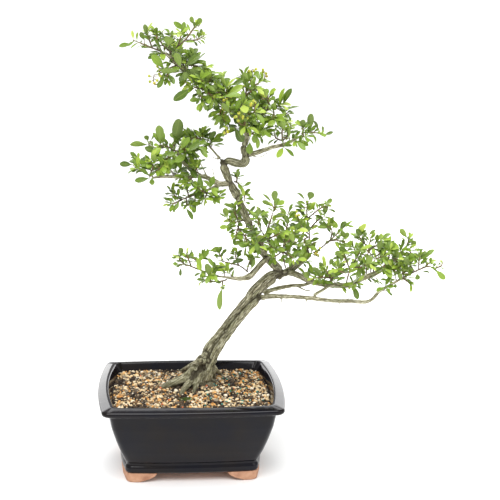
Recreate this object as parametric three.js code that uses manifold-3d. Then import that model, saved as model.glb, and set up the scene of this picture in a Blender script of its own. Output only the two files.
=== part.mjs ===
// Firethorn bonsai in a bowed rectangular pot, millimetres, +Z up.
// The part's origin is the middle of the bottom of its bounding box.
import * as THREE from "three";
import { mergeVertices } from "three/addons/utils/BufferGeometryUtils.js";
import Module from "manifold-3d";

const wasm = await Module();
wasm.setup();
const { Manifold } = wasm;

// Pot sizes
const RIM_WIDTH = 254;
const RIM_DEPTH = 205;
const POT_HEIGHT = 114;
const SHORT_SIDE_BOW = 7.4;
const LONG_SIDE_BOW = 3.2;
const CORNER_RADIUS = 10;
const FOOT_HEIGHT = 13;
const FLOOR_TOP = 20;
const FOOT_INSET = 31;
const FOOT_WALL = 16;
const FOOT_EDGE = 1;
const FOOT_LIP = 1.5;
const FRONT_GAP_FLOOR = 68;
const FRONT_GAP_TOP = 47;
const SIDE_GAP_FLOOR = 40;
const SIDE_GAP_TOP = 20;
const DRAIN_RADIUS = 11;
const DRAIN_SIDES = 16;
const DRAIN_SPACING = 90;
const DRAIN_BOTTOM = 5;
const SCREEN_SIDE = 34;
const SCREEN_THICK = 1.2;
const SCREEN_BAR = 3;
const SCREEN_CELLS = 2;
const CUT_PAST = 1;

// Soil and grit sizes
const CLEARANCE = 0.35;
const ROOT_HOLE_GAP = 0.55;
const SAME_POINT = 1e-4;
const SLIVER = 2e-3;
const SOIL_TOP = 98;
const GRIT_EDGE = 103.5;
const GRIT_MOUND = 6;
const GRIT_MOUND_REACH = [62, 46];
const GRIT_GRAIN = 2.4;
const GRIT_CELL = 15;
const GRIT_INSET = 12;
const GRIT_SCATTER = 0.42;
const TRUNK_FOOT = [10, 13];

// Stems: gaps kept to what stands near them, and how a stem's foot walks out of its limb
const STEM_GAP = 1;
const FORK_GAP = 2.4;
const FOOT_GAP = 0.85;
const WALK_STEP = 0.25;
const LONGEST_WALK = 30;
const STEM_FOOT = 0.5;
const FORK_SHARE = 0.8;
const TIP_SHARE = 0.6;
const TWIG_RADIUS = 1.05;

// Leaves and berries
const LEAF_ASPECT = 0.46;
const GROWN_LEAF = 1.2;
const LEAF_THICK = 1;
const LEAF_DROOP = 0.1;
const LARGE_LEAF = 21;
const LONG_STALK = 5;
const STALK_THICK = 0.9;
const STALK_RADIUS = 0.6;
const STALK_TIP_RADIUS = 0.45;
const LEAF_SHARE = 0.22;
const LEAF_GAP = 0.5;
const LEAF_OVERLAP = 0.2;
const LEAF_SPIRAL = 2.4;
const LEAF_TRIES = 14;
const SMALLER_AFTER = 8;
const SMALLER_SHARE = 0.8;
const LEAF_RISE = 0.12;
const LIGHT_SCATTER = 0.9;
const LIGHT_FROM_FRONT = 0.55;
const FIRST_LEAF = 0.4;
const TIP_LEAF_BACK = 0.02;
const BERRY_RADIUS = 1.9;
const BERRY_GAP = 0.5;
const BERRY_TRIES = 8;

// Where the viewer of the front picture stands, in mm from the middle of the pot's foot
const VIEWER = new THREE.Vector3(-65.3, -1435.2, 663.3);
const VIEW_YAW = -0.0993;
const VIEW_PITCH = 0.2451;
const VIEW_ROLL = 0.0219;
const VIEW_FOCUS = 1107.9;
const PICTURE_MIDDLE = 250;

const viewForward = new THREE.Vector3(
  -Math.sin(VIEW_YAW) * Math.cos(VIEW_PITCH),
  Math.cos(VIEW_YAW) * Math.cos(VIEW_PITCH),
  -Math.sin(VIEW_PITCH)
);
const levelRight = new THREE.Vector3(Math.cos(VIEW_YAW), Math.sin(VIEW_YAW), 0);
const levelUp = levelRight.clone().cross(viewForward);
const viewRight = levelRight.clone().multiplyScalar(Math.cos(VIEW_ROLL))
  .addScaledVector(levelUp, Math.sin(VIEW_ROLL));
const viewUp = levelUp.clone().multiplyScalar(Math.cos(VIEW_ROLL))
  .addScaledVector(levelRight, -Math.sin(VIEW_ROLL));

// A place given by its picture point (across, down) and its depth behind the pot's middle in mm
function spot([across, down, depth]) {
  const ray = viewForward.clone()
    .addScaledVector(viewRight, (across - PICTURE_MIDDLE) / VIEW_FOCUS)
    .addScaledVector(viewUp, -(down - PICTURE_MIDDLE) / VIEW_FOCUS);
  return VIEWER.clone().addScaledVector(ray, (depth - VIEWER.y) / ray.y);
}

// Limbs of the wood: picture point, depth and radius at each station
const LIMBS = {
  trunk: [
    [198, 388, 14, 11], [201, 376, 14, 11.5], [204.5, 363, 12, 10.5], [210.5, 349, 10, 8.8],
    [220.5, 335, 9, 7.4], [230, 322, 8, 7], [239, 311, 7, 7.2], [248, 301, 6, 8.2],
    [256, 291, 5, 9], [266, 281, 3, 9], [276, 274, 2, 7.5], [284, 272, 2, 6],
  ],
  strand: [
    [206, 379, 7, 7.5], [211, 364, 3, 6.8], [217, 350, 1, 6], [227, 336, -1, 5.2], [236.5, 323, -2, 5],
    [245.5, 312, -3, 5], [252, 305, -3, 5], [259, 299, -3, 4.4], [267, 296.5, -4, 3.6],
  ],
  lower_right: [
    [259, 299, -3, 4], [267, 296.5, -4, 3.6], [290, 296.5, -8, 3.2], [310, 298, -12, 3],
    [330, 300.5, -16, 2.8], [350, 301, -20, 2.7], [364, 302, -23, 2.7], [371, 300, -24, 2.4],
    [380, 291, -26, 2], [390, 285, -28, 1.8], [398, 280.5, -28, 1.7], [408, 275, -28, 1.5],
  ],
  middle_right: [
    [276, 275, 2, 6.5], [284, 273, 3, 5.5], [292, 273, 5, 5], [300, 276, 7, 4.6],
    [310, 281, 9, 4.3], [322, 284, 11, 4.2], [336, 285.5, 13, 4], [349, 285, 14, 4],
    [358, 281, 15, 3.8], [367, 276.5, 15, 3.8], [376, 273, 14, 3.6], [386, 266, 13, 3.4],
    [394, 259, 12, 3.2], [400, 253.5, 11, 3.1], [404, 251.5, 11, 3],
  ],
  stub: [
    [278, 276, 4, 6], [290, 270, 12, 5], [300, 262, 18, 4.6], [306, 257, 21, 4.6], [311, 254.5, 22, 3],
  ],
  inner: [[264, 293, 14, 4], [275, 289, 22, 3.2], [290, 286, 28, 2.8], [304, 285, 32, 2.4]],
  link: [[314, 295, -13, 2.2], [321, 291, -7, 2.2], [329, 286, 5, 2.2], [334, 285, 11, 2.2]],
  upper: [
    [283, 274, 3, 6], [275, 266, 2, 6.2], [266, 256, 1, 5.8], [258, 245, 0, 5.2], [254, 234, 0, 4.8],
    [248, 221, -1, 4.8], [242, 208, -2, 5.1], [237, 196, -3, 5.3], [230, 183, -4, 5.6],
    [226, 173, -4, 5.5], [223, 164, -4, 5.6], [222, 161, -4, 5.2],
  ],
  jog: [
    [221, 162, -4, 5], [230, 161.5, -5, 5.2], [238, 163.5, -6, 5.2], [244.5, 162.5, -6, 5.6],
    [246, 156, -6, 5.4], [244, 149, -6, 4.8], [245, 143, -7, 3.8],
  ],
  apex: [
    [245, 144, -7, 3.8], [247, 136, -7, 3.4], [244, 126, -8, 3.2], [237, 117, -9, 3],
    [227, 108, -10, 3], [215, 98, -11, 2.9], [204, 88, -11, 2.9], [194, 78, -12, 3],
    [184, 70, -12, 3.4], [176, 63, -13, 3.4], [170, 57, -14, 2.8], [165, 53, -14, 2],
  ],
  crown: [[244, 127, -8, 2.6], [252, 118, -4, 2.3], [262, 112, 0, 2], [270, 109, 2, 1.6]],
  right_arm: [
    [246, 155, -6, 3.4], [255, 153, -7, 2.8], [264, 150, -8, 2.7], [273, 147, -9, 2.6],
    [282, 145, -10, 2.4], [290, 142, -10, 2.1], [296, 138.5, -10, 1.8], [301, 136, -10, 1.5],
  ],
  left_arm: [
    [230, 183, -5, 3.8], [221, 184, -8, 3.6], [215, 181.5, -10, 3.2], [208, 178, -12, 2.9],
    [201, 176, -13, 2.8], [192, 176.5, -14, 2.6], [180, 177, -16, 2.4], [168, 176.5, -18, 2.3],
    [158, 177, -19, 2], [152, 178, -20, 1.7],
  ],
  left_rise: [
    [197, 176, -14, 2.6], [191, 170, -14, 2.7], [185, 164, -13, 2.6], [180, 158, -12, 2.4],
    [177, 152, -12, 2],
  ],
  left_under: [[219, 185, -9, 2.4], [212, 188, -14, 2.1], [205, 191, -18, 1.8], [198, 194, -20, 1.5]],
  left_knot: [[222, 161, -4, 2.2], [216, 154, -2, 1.5], [210, 147, 0, 1.4], [205, 142, 2, 1.3]],
  left_low: [
    [270, 256, 0, 4.6], [262, 263, -8, 4], [255, 271, -15, 3.8], [249, 276.5, -20, 4.2],
    [241, 278.5, -23, 3], [232, 278, -26, 2.3], [224, 277, -28, 1.7], [216, 276, -29, 1.5],
    [208, 272.5, -30, 1.4], [200, 270, -31, 1.3],
  ],
};

// Foot of the trunk: each root's compass direction in degrees, its reach and its radius
const ROOTS = [
  [15, 30, 4.4], [75, 26, 4.2], [140, 36, 4.4], [174, 54, 5.6],
  [200, 58, 6], [224, 48, 5], [266, 32, 4.6], [320, 28, 4.2],
];

// Along a root: share of its reach, height above the grit in mm and thickness over its radius
const ROOT_STEPS = [[0.1, 20, 1.1], [0.32, 8, 1.1], [0.62, 2.2, 0.9], [0.88, -1.5, 0.7], [1.08, -9, 0.45]];
const ROOT_BENDS = [-0.18, 0.22];
const SURFACE_SHARE = 0.5;
const COMMON_ROOT = 4;

// The buried root below the trunk: place across from the trunk's foot, height and radius
const TAP_ROOT = [[3, 116, 13], [0, 98, 14], [-2, 74, 7]];

// Sprays: the limb each grows from, then its stems and its leaves that stand out.
// A stem is its number of leaves, their length in mm, and its picture points with their depth.
// A leaf that stands out is its foot and its tip in the picture, its depth and its width seen in mm.
const SPRAYS = {
  apex_left: ["apex", [
    [2, 11, [165, 53, -14], [150, 47, -17], [133, 40, -22]],
    [3, 11, [152, 48, -18], [149, 39, -15], [147, 32, -13]],
    [3, 9, [158, 49, -17], [157, 40, -9], [156, 32, -4]],
  ], [
    [132, 44, 119, 45, -22, 6], [146, 36, 145.5, 24, -14, 7], [145, 41, 140, 32, -16, 6.5],
    [153, 35, 156, 27, -8, 3.5], [150, 48, 141, 46, -10, 3.5],
  ]],
  apex_top: ["apex", [
    [4, 13, [172, 59, -14], [169, 46, -16], [171, 35, -20]],
    [3, 12, [171, 52, -14], [162, 44, -4], [160, 36, 4]],
    [3, 10, [174, 56, -14], [185, 40, -10], [194, 28, -6], [198, 25, -5]],
    [3, 9, [185, 40, -9], [196, 40, 2], [204, 36, 6]],
    [3, 12, [180, 48, -12], [180, 40, -26], [181, 33, -34]],
  ], [
    [186, 31, 174, 22, -16, 7], [194, 25, 190, 16.5, -6, 6], [199, 27, 200, 17.5, -4, 7.5],
    [168, 47, 169, 36, -26, 12], [165, 39, 160, 31, -2, 2.5], [196, 37, 199, 32, 4, 4],
  ]],
  apex_right: ["apex", [
    [2, 16, [183, 69, -12], [190, 62, -20], [194, 56, -26]],
    [3, 15, [189, 66, -18], [197, 66, -14], [204, 68, -10]],
  ], [
    [182, 61, 198, 49, -21, 9], [185, 67, 199, 54, -29, 10], [187, 67, 205, 59, -18, 6.5],
    [207, 70, 202.5, 60, -8, 6], [181, 69, 176, 52, -30, 9.5], [192, 68, 203, 69, -24, 5],
  ]],
  apex_low: ["apex", [
    [2, 14, [178, 65, -14], [170, 68, -24], [164, 72, -30]],
    [2, 12, [170, 68, -24], [168, 74, -28], [166, 79, -30]],
  ], [
    [165, 69, 152, 55, -30, 11], [179, 72, 161, 69.5, -36, 7], [165, 76, 158, 88, -32, 7],
    [170, 73, 164, 85, -26, 4.5],
  ]],
  apex_rear: ["apex", [
    [6, 15, [181, 68, -12], [178, 60, 12], [177, 50, 30]],
    [5, 15, [180, 62, 8], [190, 60, 24], [194, 64, 36]],
  ], []],
  neck_left: ["apex", [
    [3, 14, [205, 89, -11], [197, 88, -20], [192, 86, -24]],
    [4, 12, [198, 88, -20], [200, 95, -26], [204, 102, -28]],
    [4, 15, [201, 88, -18], [205, 84, -32], [200, 79, -40]],
    [4, 13, [203, 90, -18], [210, 94, -34], [214, 99, -38]],
  ], [
    [193, 87, 174, 101, -26, 11], [201, 99, 190, 100, -28, 7], [212, 100, 210, 109, -30, 6],
    [184, 82, 186, 72, -28, 9], [202, 96, 197, 89, -34, 6.5], [203, 97, 210, 103, -24, 8],
  ]],
  neck_right: ["apex", [
    [5, 16, [212, 95, -11], [208, 84, -14], [212, 77, -16]],
    [5, 15, [209, 88, -13], [217, 84, 0], [223, 81, 8]],
  ], [
    [206, 74, 221, 72, -12, 3.5], [208, 83, 190, 68, -20, 7], [210, 78, 218, 80, -24, 5],
  ]],
  neck_rear: ["apex", [
    [6, 15, [207, 91, -11], [203, 86, 14], [200, 82, 34]],
    [3, 14, [205, 89, 2], [214, 88, 22], [218, 90, 32]],
  ], []],
  crown_top: ["apex", [
    [2, 12, [238, 118, -9], [242, 104, -10], [247, 90, -8], [252, 78, -6]],
    [3, 12, [248, 88, -8], [257, 84, 0], [263, 80, 4]],
    [4, 13, [244, 96, -10], [250, 92, -18], [256, 88, -22]],
    [5, 13, [246, 92, -8], [246, 84, 10], [243, 76, 16]],
  ], [
    [249, 80, 242, 73, -12, 9], [248, 88, 256, 87, -20, 5], [252, 76, 259, 72, 0, 6],
  ]],
  crown_left: ["apex", [
    [4, 16, [228, 109, -10], [227, 98, -16], [226, 88, -20]],
    [3, 14, [227, 101, -14], [220, 94, -20], [214, 87, -24]],
    [4, 14, [228, 105, -11], [221, 110, -22], [219, 119, -26]],
    [3, 13, [223, 108, -18], [217, 106, -14], [212, 104, -8]],
    [2, 12, [220, 115, -24], [225, 121, -30], [228, 128, -32]],
  ], [
    [226, 95, 243, 86, -24, 9.5], [227, 88, 221, 77, -18, 6], [230, 86, 243, 80, -14, 7],
    [216, 94, 212, 85, -28, 10], [222, 97, 241, 93, -32, 7], [224, 116, 216, 121, -28, 9],
    [221, 106, 214, 108, -22, 8.5],
  ]],
  crown_front: ["apex", [
    [5, 15, [240, 121, -9], [240, 114, -28], [243, 104, -46]],
    [4, 14, [240, 115, -26], [249, 114, -40], [255, 112, -50]],
    [4, 14, [240, 116, -22], [232, 113, -36], [229, 109, -48]],
    [4, 14, [240, 114, -30], [243, 122, -44], [246, 126, -52]],
  ], [
    [233, 116, 239, 99, -50, 7], [231, 115, 222, 103, -48, 6.5], [247, 121, 236, 119, -54, 8],
  ]],
  crown_rear: ["apex", [
    [5, 16, [233, 113, -10], [232, 106, 16], [231, 98, 38]],
    [5, 15, [232, 108, 8], [241, 106, 32], [247, 108, 50]],
    [4, 14, [232, 109, 6], [226, 112, 26], [222, 114, 38]],
  ], []],
  crown_right: ["crown", [
    [3, 14, [270, 109, 2], [276, 107, -2], [281, 105, -6]],
    [4, 13, [268, 110, 2], [268, 102, -8], [268, 95, -12]],
    [4, 15, [272, 109, 0], [274, 114, -12], [273, 118, -20]],
    [3, 11, [276, 108, 0], [284, 112, 8], [289, 115, 12]],
  ], [
    [279, 106, 283, 88, -10, 5.5], [282, 106, 290, 88, -4, 8], [267, 98, 264, 88.5, -14, 9],
    [283, 111, 299, 105.5, 6, 2.8], [276, 117, 290, 118, -18, 2.8], [266, 126, 275, 121, -24, 7.5],
    [270, 100, 275, 97, -16, 6],
  ]],
  crown_middle: ["crown", [
    [5, 15, [260, 113, -1], [260, 105, 14], [260, 98, 24]],
    [5, 14, [258, 115, -2], [258, 118, -20], [258, 121, -32]],
    [4, 14, [260, 108, 8], [252, 102, 16], [247, 98, 20]],
  ], [
    [253, 100, 246, 94, -12, 9], [254, 118, 246, 113, -34, 8],
  ]],
  crown_rear_right: ["crown", [
    [5, 15, [265, 111, 1], [266, 112, 24], [268, 110, 44]],
    [5, 15, [265, 112, 16], [258, 118, 34], [253, 122, 44]],
  ], []],
  crown_low: ["apex", [
    [4, 14, [247, 137, -7], [253, 133, -20], [259, 130, -30]],
    [2, 14, [250, 135, -14], [243, 130, -28], [238, 128, -36]],
    [3, 13, [252, 134, -18], [260, 136, -16], [264, 130, -12]],
  ], [
    [234, 127, 243, 142, -38, 12], [250, 141, 249, 154, -14, 9.5], [256, 131, 254, 143, -30, 9],
    [262, 138, 265, 129, -22, 9],
  ]],
  right_arm_near: ["right_arm", [
    [4, 14, [283, 144, -10], [282, 134, -14], [283, 125, -18]],
    [4, 12, [286, 143, -10], [289, 133, 0], [291, 124, 8]],
    [3, 11, [279, 146, -10], [276, 138, -4], [274, 132, 0]],
  ], [
    [285, 131, 281, 120.5, -20, 9.5], [288, 139, 290, 127, -24, 5],
  ]],
  right_arm_tip: ["right_arm", [
    [3, 11, [301, 136, -10], [303, 131, -8], [303, 126, -6]],
    [3, 11, [302, 134, -9], [311, 132, -4], [321, 134, 0]],
    [2, 9, [302, 135, -10], [303, 139, -14], [304, 142, -16]],
  ], [
    [311, 131, 309.5, 113, -4, 9.5], [319, 132, 314, 120, 2, 3.5], [324, 135, 333, 132, 0, 5],
    [323, 133, 322.5, 126, -2, 3.2], [304, 128, 302, 119.5, -8, 8],
  ]],
  left_high: ["left_rise", [
    [4, 16, [177, 152, -12], [168, 147, -14], [160, 145, -16]],
    [1, 12, [165, 147, -14], [156, 148, -10], [149, 145, -8]],
    [3, 15, [173, 150, -13], [175, 144, -6], [178, 138, -2]],
    [5, 16, [175, 150, -14], [170, 156, -30], [164, 160, -38]],
    [4, 16, [177, 152, -13], [182, 152, -28], [185, 147, -36]],
    [3, 15, [182, 152, -28], [191, 150, -34], [198, 146, -38]],
  ], [
    [160, 144, 160, 125, -20, 11.5], [173, 145, 181, 119, -10, 16], [149, 145, 130, 143, -10, 7],
    [150.5, 141, 156, 133, -6, 3.5], [148, 142, 146, 135, -4, 7], [184, 140, 188, 130, 2, 6],
    [162, 155, 175, 153, -40, 7], [158, 152, 145, 148, -24, 8], [160, 168, 175, 166, -42, 7.5],
    [172, 163, 185, 156, -40, 9.5], [185, 152, 200, 143, -42, 8.5], [181, 150, 188, 137, -38, 8.5],
    [196, 149, 209, 152, -30, 4.5],
  ]],
  left_rear: ["left_arm", [
    [2, 14, [205, 177, -12], [194, 170, 14], [186, 162, 34]],
    [5, 15, [188, 164, 30], [178, 158, 44], [170, 152, 54]],
    [5, 14, [188, 164, 30], [192, 154, 44], [193, 148, 52]],
  ], []],
  left_top: ["left_knot", [
    [5, 13, [205, 142, 2], [203, 138, 0], [202, 134, -2]],
    [5, 15, [204, 140, 1], [196, 138, -10], [189, 139, -16]],
    [4, 12, [205, 141, 2], [209, 146, 12], [207, 149, 18]],
  ], [
    [203, 138, 194, 130, -6, 6], [207, 140, 216, 132, -4, 7.5], [202, 142, 192, 136, 6, 7],
  ]],
  left_tip: ["left_arm", [
    [4, 13, [152, 178, -20], [145, 172, -18], [136, 168, -16]],
    [5, 15, [151, 176, -20], [153, 167, -28], [150, 159, -34]],
    [5, 11, [147, 173, -18], [142, 165, -4], [138, 160, 4]],
    [3, 15, [151, 174, -20], [158, 170, -36], [163, 165, -44]],
  ], [
    [133, 165, 120, 163, -16, 8], [150, 178, 135, 181, -24, 8], [152, 177, 152, 185, -20, 7.5],
    [150, 176, 141, 169, -30, 6], [155, 165, 154, 154, -40, 8],
  ]],
  left_middle: ["left_arm", [
    [5, 11, [194, 177, -14], [196, 170, -26], [196, 164, -32]],
    [4, 12, [195, 174, -18], [190, 180, -30], [187, 183, -36]],
  ], [[199, 173, 200.5, 188, -36, 8]]],
  left_middle_rear: ["left_arm", [
    [5, 12, [174, 177, -17], [172, 172, 4], [169, 168, 20]],
    [4, 12, [173, 174, -4], [180, 176, 14], [184, 179, 24]],
  ], []],
  left_under: ["left_under", [
    [2, 11, [198, 194, -20], [188, 197, -18], [179, 201, -16]],
    [4, 12, [182, 199, -16], [175, 196, -10], [172, 193, -8]],
    [3, 12, [181, 200, -16], [175, 203, -24], [170, 204, -28]],
    [3, 11, [188, 197, -18], [187, 190, -6], [184, 187, 2]],
    [3, 11, [186, 198, -18], [187, 205, -22], [190, 205, -28]],
    [3, 11, [195, 195, -19], [195, 200, -6], [193, 203, 0]],
  ], [
    [185, 207, 194, 219, -22, 6.5], [190, 191, 179, 186, -4, 4], [190, 206, 200, 203, -12, 5],
    [172, 199, 165, 199, -12, 4.5],
  ]],
  left_under_near: ["left_under", [
    [4, 11, [208, 190, -16], [206, 196, -26], [204, 199, -30]],
    [4, 11, [207, 192, -20], [214, 194, -20], [219, 197, -20]],
    [4, 11, [207, 193, -22], [200, 190, -34], [197, 187, -40]],
  ], [
    [208, 196, 221, 202, -26, 6], [209, 193, 220, 192, -14, 5], [218, 198, 225, 198, -22, 4],
  ]],
  trunk_shoot: ["upper", [
    [1, 9, [229, 180, -4], [236, 182, -8], [243, 187, -10]],
    [2, 9, [237, 182, -8], [237, 178, -12], [237, 174, -14]],
    [1, 9, [241, 185, -10], [244, 194, -12], [245, 202, -12]],
  ], [
    [243, 187, 250.5, 181.5, -10, 4.5], [237.5, 179, 238.5, 170, -14, 6], [245, 202, 250, 204, -10, 4],
  ]],
  central_left: ["upper", [
    [3, 12, [247, 219, -1], [237, 222, -12], [230, 222, -18]],
    [5, 12, [240, 221, -8], [237, 231, -20], [236, 238, -26]],
    [3, 11, [238, 222, -10], [235, 213, -12], [233, 208, -12]],
    [4, 13, [238, 228, -18], [246, 238, -30], [247, 246, -36]],
  ], [
    [228, 219, 224, 207.5, -18, 8.5], [230, 226, 220, 228, -20, 7], [232, 221, 232, 212, -14, 5.5],
    [228, 219, 219, 213, -20, 2.8], [250, 246, 239, 244, -38, 8], [236, 239, 233, 244, -26, 4],
    [238, 210, 224, 203, -12, 5],
  ]],
  central_left_rear: ["upper", [
    [5, 13, [250, 226, 0], [243, 220, 18], [238, 216, 30]],
    [5, 12, [247, 223, 10], [246, 234, 28], [244, 242, 36]],
    [4, 12, [246, 222, 12], [256, 218, 24], [260, 212, 30]],
  ], [[248, 217, 253, 208, 8, 5]]],
  central_front: ["upper", [
    [3, 12, [263, 252, 1], [263, 243, -22], [266, 232, -38]],
    [4, 13, [265, 238, -30], [270, 222, -38], [274, 208, -42]],
    [4, 12, [265, 236, -32], [259, 226, -44], [258, 216, -48]],
    [5, 13, [265, 240, -28], [275, 236, -48], [282, 232, -58]],
    [4, 13, [264, 243, -22], [258, 242, -42], [256, 246, -54]],
    [4, 12, [267, 240, -32], [271, 246, -48], [275, 249, -56]],
  ], [
    [275, 204, 274, 190, -44, 9], [273, 207, 262, 200, -40, 6], [276, 206, 284, 200.5, -42, 7],
    [272, 203, 263, 193.5, -36, 3], [258, 217, 259, 208.5, -50, 8], [284, 212, 288, 224, -58, 7],
    [256, 240, 258, 251, -60, 7],
  ]],
  central_middle: ["stub", [
    [4, 13, [286, 271, 9], [283, 254, -4], [284, 238, -12]],
    [4, 13, [284, 242, -10], [287, 226, -10], [288, 214, -8]],
    [4, 12, [283, 246, -8], [291, 238, -20], [296, 230, -26]],
    [4, 12, [283, 250, -6], [276, 256, -22], [271, 258, -30]],
    [4, 12, [284, 252, -6], [290, 256, -24], [295, 259, -32]],
  ], [
    [288, 213, 292, 204, -6, 4], [294, 243, 290, 233, -30, 8], [284, 244, 276, 233, -34, 8],
    [296, 243, 303, 238, -24, 6],
  ]],
  central_rear: ["stub", [
    [2, 13, [294, 267, 14], [288, 252, 34], [284, 240, 48]],
    [5, 13, [285, 244, 44], [278, 232, 54], [272, 222, 60]],
    [5, 13, [286, 246, 42], [295, 232, 56], [303, 224, 64]],
    [4, 13, [286, 248, 40], [290, 244, 62], [292, 246, 74]],
    [4, 12, [288, 253, 32], [277, 250, 44], [269, 246, 50]],
  ], []],
  central_right: ["stub", [
    [1, 12, [306, 257, 21], [309, 243, 12], [310, 228, 4]],
    [5, 13, [310, 230, 5], [307, 216, 0], [307, 205, -4]],
    [4, 12, [308, 218, 1], [318, 210, 2], [326, 205, 2]],
    [5, 13, [309, 234, 8], [302, 228, -10], [299, 220, -16]],
    [2, 12, [310, 228, 4], [317, 221, 8], [325, 216, 10]],
    [4, 13, [309, 236, 8], [304, 240, -10], [306, 246, -18]],
  ], [
    [306, 201, 297, 192, -4, 3], [309, 201, 312, 191.5, -6, 10], [326, 207, 331, 198, 2, 6.5],
    [327, 209, 336, 211.5, 4, 3.5], [326, 216, 338, 228, 10, 9], [303, 208, 294, 205, -6, 3],
    [300, 221, 297, 229, -22, 8], [302, 231, 311, 228, -20, 8],
  ]],
  stub_twig: ["stub", [
    [2, 11, [311, 255, 22], [321, 248, 20], [330, 240, 16], [340, 232, 12]],
    [3, 13, [331, 239, 16], [332, 231, 10], [328, 226, 6]],
    [3, 12, [336, 235, 14], [341, 229, 22], [346, 226, 28]],
    [3, 11, [329, 241, 16], [337, 240, 6], [342, 242, 0]],
  ], [
    [347, 241, 341, 230, 8, 7], [346, 240, 348, 232, 4, 7], [328, 228, 317, 227, 2, 5],
  ]],
  right_near: ["middle_right", [
    [4, 13, [333, 285, 13], [329, 275, 0], [324, 267, -8]],
    [4, 12, [331, 280, 6], [337, 271, -6], [341, 263, -12]],
    [3, 12, [330, 277, 4], [320, 277, -8], [315, 278, -14]],
  ], [
    [323, 276, 313, 266, -14, 7], [325, 268, 319, 262, -6, 5], [329, 266, 333, 259, -10, 7],
    [310, 280, 304, 272, -2, 7.5],
  ]],
  right_front: ["middle_right", [
    [2, 12, [346, 285, 14], [348, 276, -14], [352, 266, -34]],
    [5, 12, [350, 270, -26], [346, 260, -36], [343, 252, -42]],
    [5, 12, [352, 267, -32], [357, 257, -46], [361, 250, -54]],
    [5, 12, [352, 267, -32], [362, 267, -50], [370, 263, -60]],
    [4, 12, [350, 272, -22], [342, 272, -40], [337, 268, -50]],
  ], [
    [344, 262, 336, 250, -44, 7], [350, 256, 340, 247, -40, 8], [366, 266, 372, 256, -64, 9],
    [358, 262, 350, 268, -56, 7],
  ]],
  right_rise: ["middle_right", [
    [2, 12, [366, 277, 15], [367, 262, 10], [369, 246, 4], [371, 237, 2]],
    [5, 13, [369, 247, 5], [362, 241, 4], [358, 234, 2]],
    [5, 13, [369, 250, 6], [377, 245, 0], [381, 240, -4]],
    [5, 13, [368, 255, 8], [358, 253, 20], [353, 247, 28]],
    [4, 12, [368, 257, 8], [378, 258, -10], [384, 256, -18]],
  ], [
    [368, 236, 375, 229.5, 0, 4.5], [378, 242, 381, 233, -6, 3], [363, 236, 356, 230, -4, 8],
    [353, 240, 347, 246, 24, 7], [378, 252, 381, 241, -12, 9],
  ]],
  right_rear: ["middle_right", [
    [2, 12, [373, 274, 14], [374, 264, 36], [376, 254, 52]],
    [5, 12, [376, 256, 48], [384, 250, 62], [388, 246, 68]],
    [5, 12, [375, 258, 44], [367, 250, 60], [362, 246, 68]],
    [4, 12, [374, 262, 38], [366, 264, 56], [359, 264, 64]],
  ], []],
  right_far: ["middle_right", [
    [5, 12, [388, 264, 13], [389, 256, -6], [390, 250, -14]],
    [5, 13, [389, 260, 2], [398, 262, -14], [401, 267, -22]],
    [4, 12, [389, 259, -2], [384, 266, -22], [383, 271, -30]],
  ], [
    [397, 268, 403, 260, -24, 8], [396, 258, 397, 250, -14, 7], [392, 250, 399, 251, -8, 5],
  ]],
  right_end: ["middle_right", [
    [2, 9, [404, 251.5, 11], [407, 245, 9], [409, 238, 7]],
    [3, 11, [406, 247, 10], [412, 254, 14], [414, 258, 18]],
  ], [
    [408, 239, 400, 228, 6, 8], [413, 249, 414.5, 240, 8, 9], [404, 256, 400, 264, 18, 6],
  ]],
  lower_tip: ["lower_right", [
    [2, 11, [408, 275, -28], [418, 270, -27], [428, 266.5, -26], [436, 268.5, -26]],
    [4, 13, [419, 270, -27], [419, 262, -22], [420, 256, -20]],
    [4, 12, [415, 271, -27], [410, 266, -34], [408, 261, -38]],
    [2, 6, [436, 268, -26], [441, 266, -25], [443, 262, -24]],
    [3, 8, [424, 268, -26], [428, 264, -32], [431, 262, -34]],
  ], [
    [422, 259, 434, 249.5, -20, 6.5], [435, 269, 445, 280, -26, 8.5], [418, 257, 423, 248.5, -18, 3],
    [421, 271, 430, 272, -30, 2.8], [413, 268, 404, 258, -40, 6], [417, 273, 418, 280, -26, 7],
  ]],
  lower_middle: ["lower_right", [
    [4, 12, [398, 280.5, -28], [402, 274, -32], [405, 268, -34]],
    [3, 9, [400, 277, -30], [407, 281, -34], [412, 284, -36]],
    [3, 12, [400, 277, -30], [395, 271, -24], [392, 268, -20]],
  ], [
    [402, 281, 399, 273, -38, 7], [395, 283, 395.5, 288, -30, 4.5], [409, 275, 408, 266, -36, 6],
  ]],
  left_low_tip: ["left_low", [
    [2, 9, [200, 270, -31], [190, 266, -33], [182, 264, -34]],
    [4, 9, [185, 265, -34], [180, 260, -36], [178, 256, -38]],
    [3, 11, [203, 270, -31], [198, 262, -24], [190, 257, -20]],
    [2, 10, [199, 264, -25], [202, 258, -18], [206, 253, -14]],
    [2, 9, [191, 267, -33], [188, 258, -42], [186, 253, -46]],
  ], [
    [180, 256, 181.5, 247, -38, 8], [181, 267, 180, 276, -34, 4.5], [200, 262, 209, 250, -20, 7],
    [196, 258, 183, 255, -28, 5], [179, 264, 173, 264, -36, 5.5],
  ]],
  left_low_under: ["left_low", [
    [2, 10, [232, 278, -26], [222, 281, -32], [211, 281.5, -34], [201, 279.5, -35]],
    [1, 9, [222, 281, -32], [222.5, 284, -34], [222.5, 286, -35]],
    [2, 10, [211, 281, -34], [209, 276, -38], [208, 273, -40]],
  ], [
    [222.5, 285, 219, 309.5, -35, 8], [208.5, 278, 208, 263, -40, 9.5], [205, 279, 203, 270, -34, 6],
    [211, 277, 216, 271, -34, 4], [206, 280, 197, 279, -36, 4.5], [213, 281, 221, 283, -38, 4],
  ]],
  left_low_twig: ["left_low", [
    [2, 9, [251, 274, -18], [240, 266, -14], [229, 263, -10], [218, 260, -8]],
    [4, 11, [223, 261, -9], [220, 255, -6], [217, 250, -4]],
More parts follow.
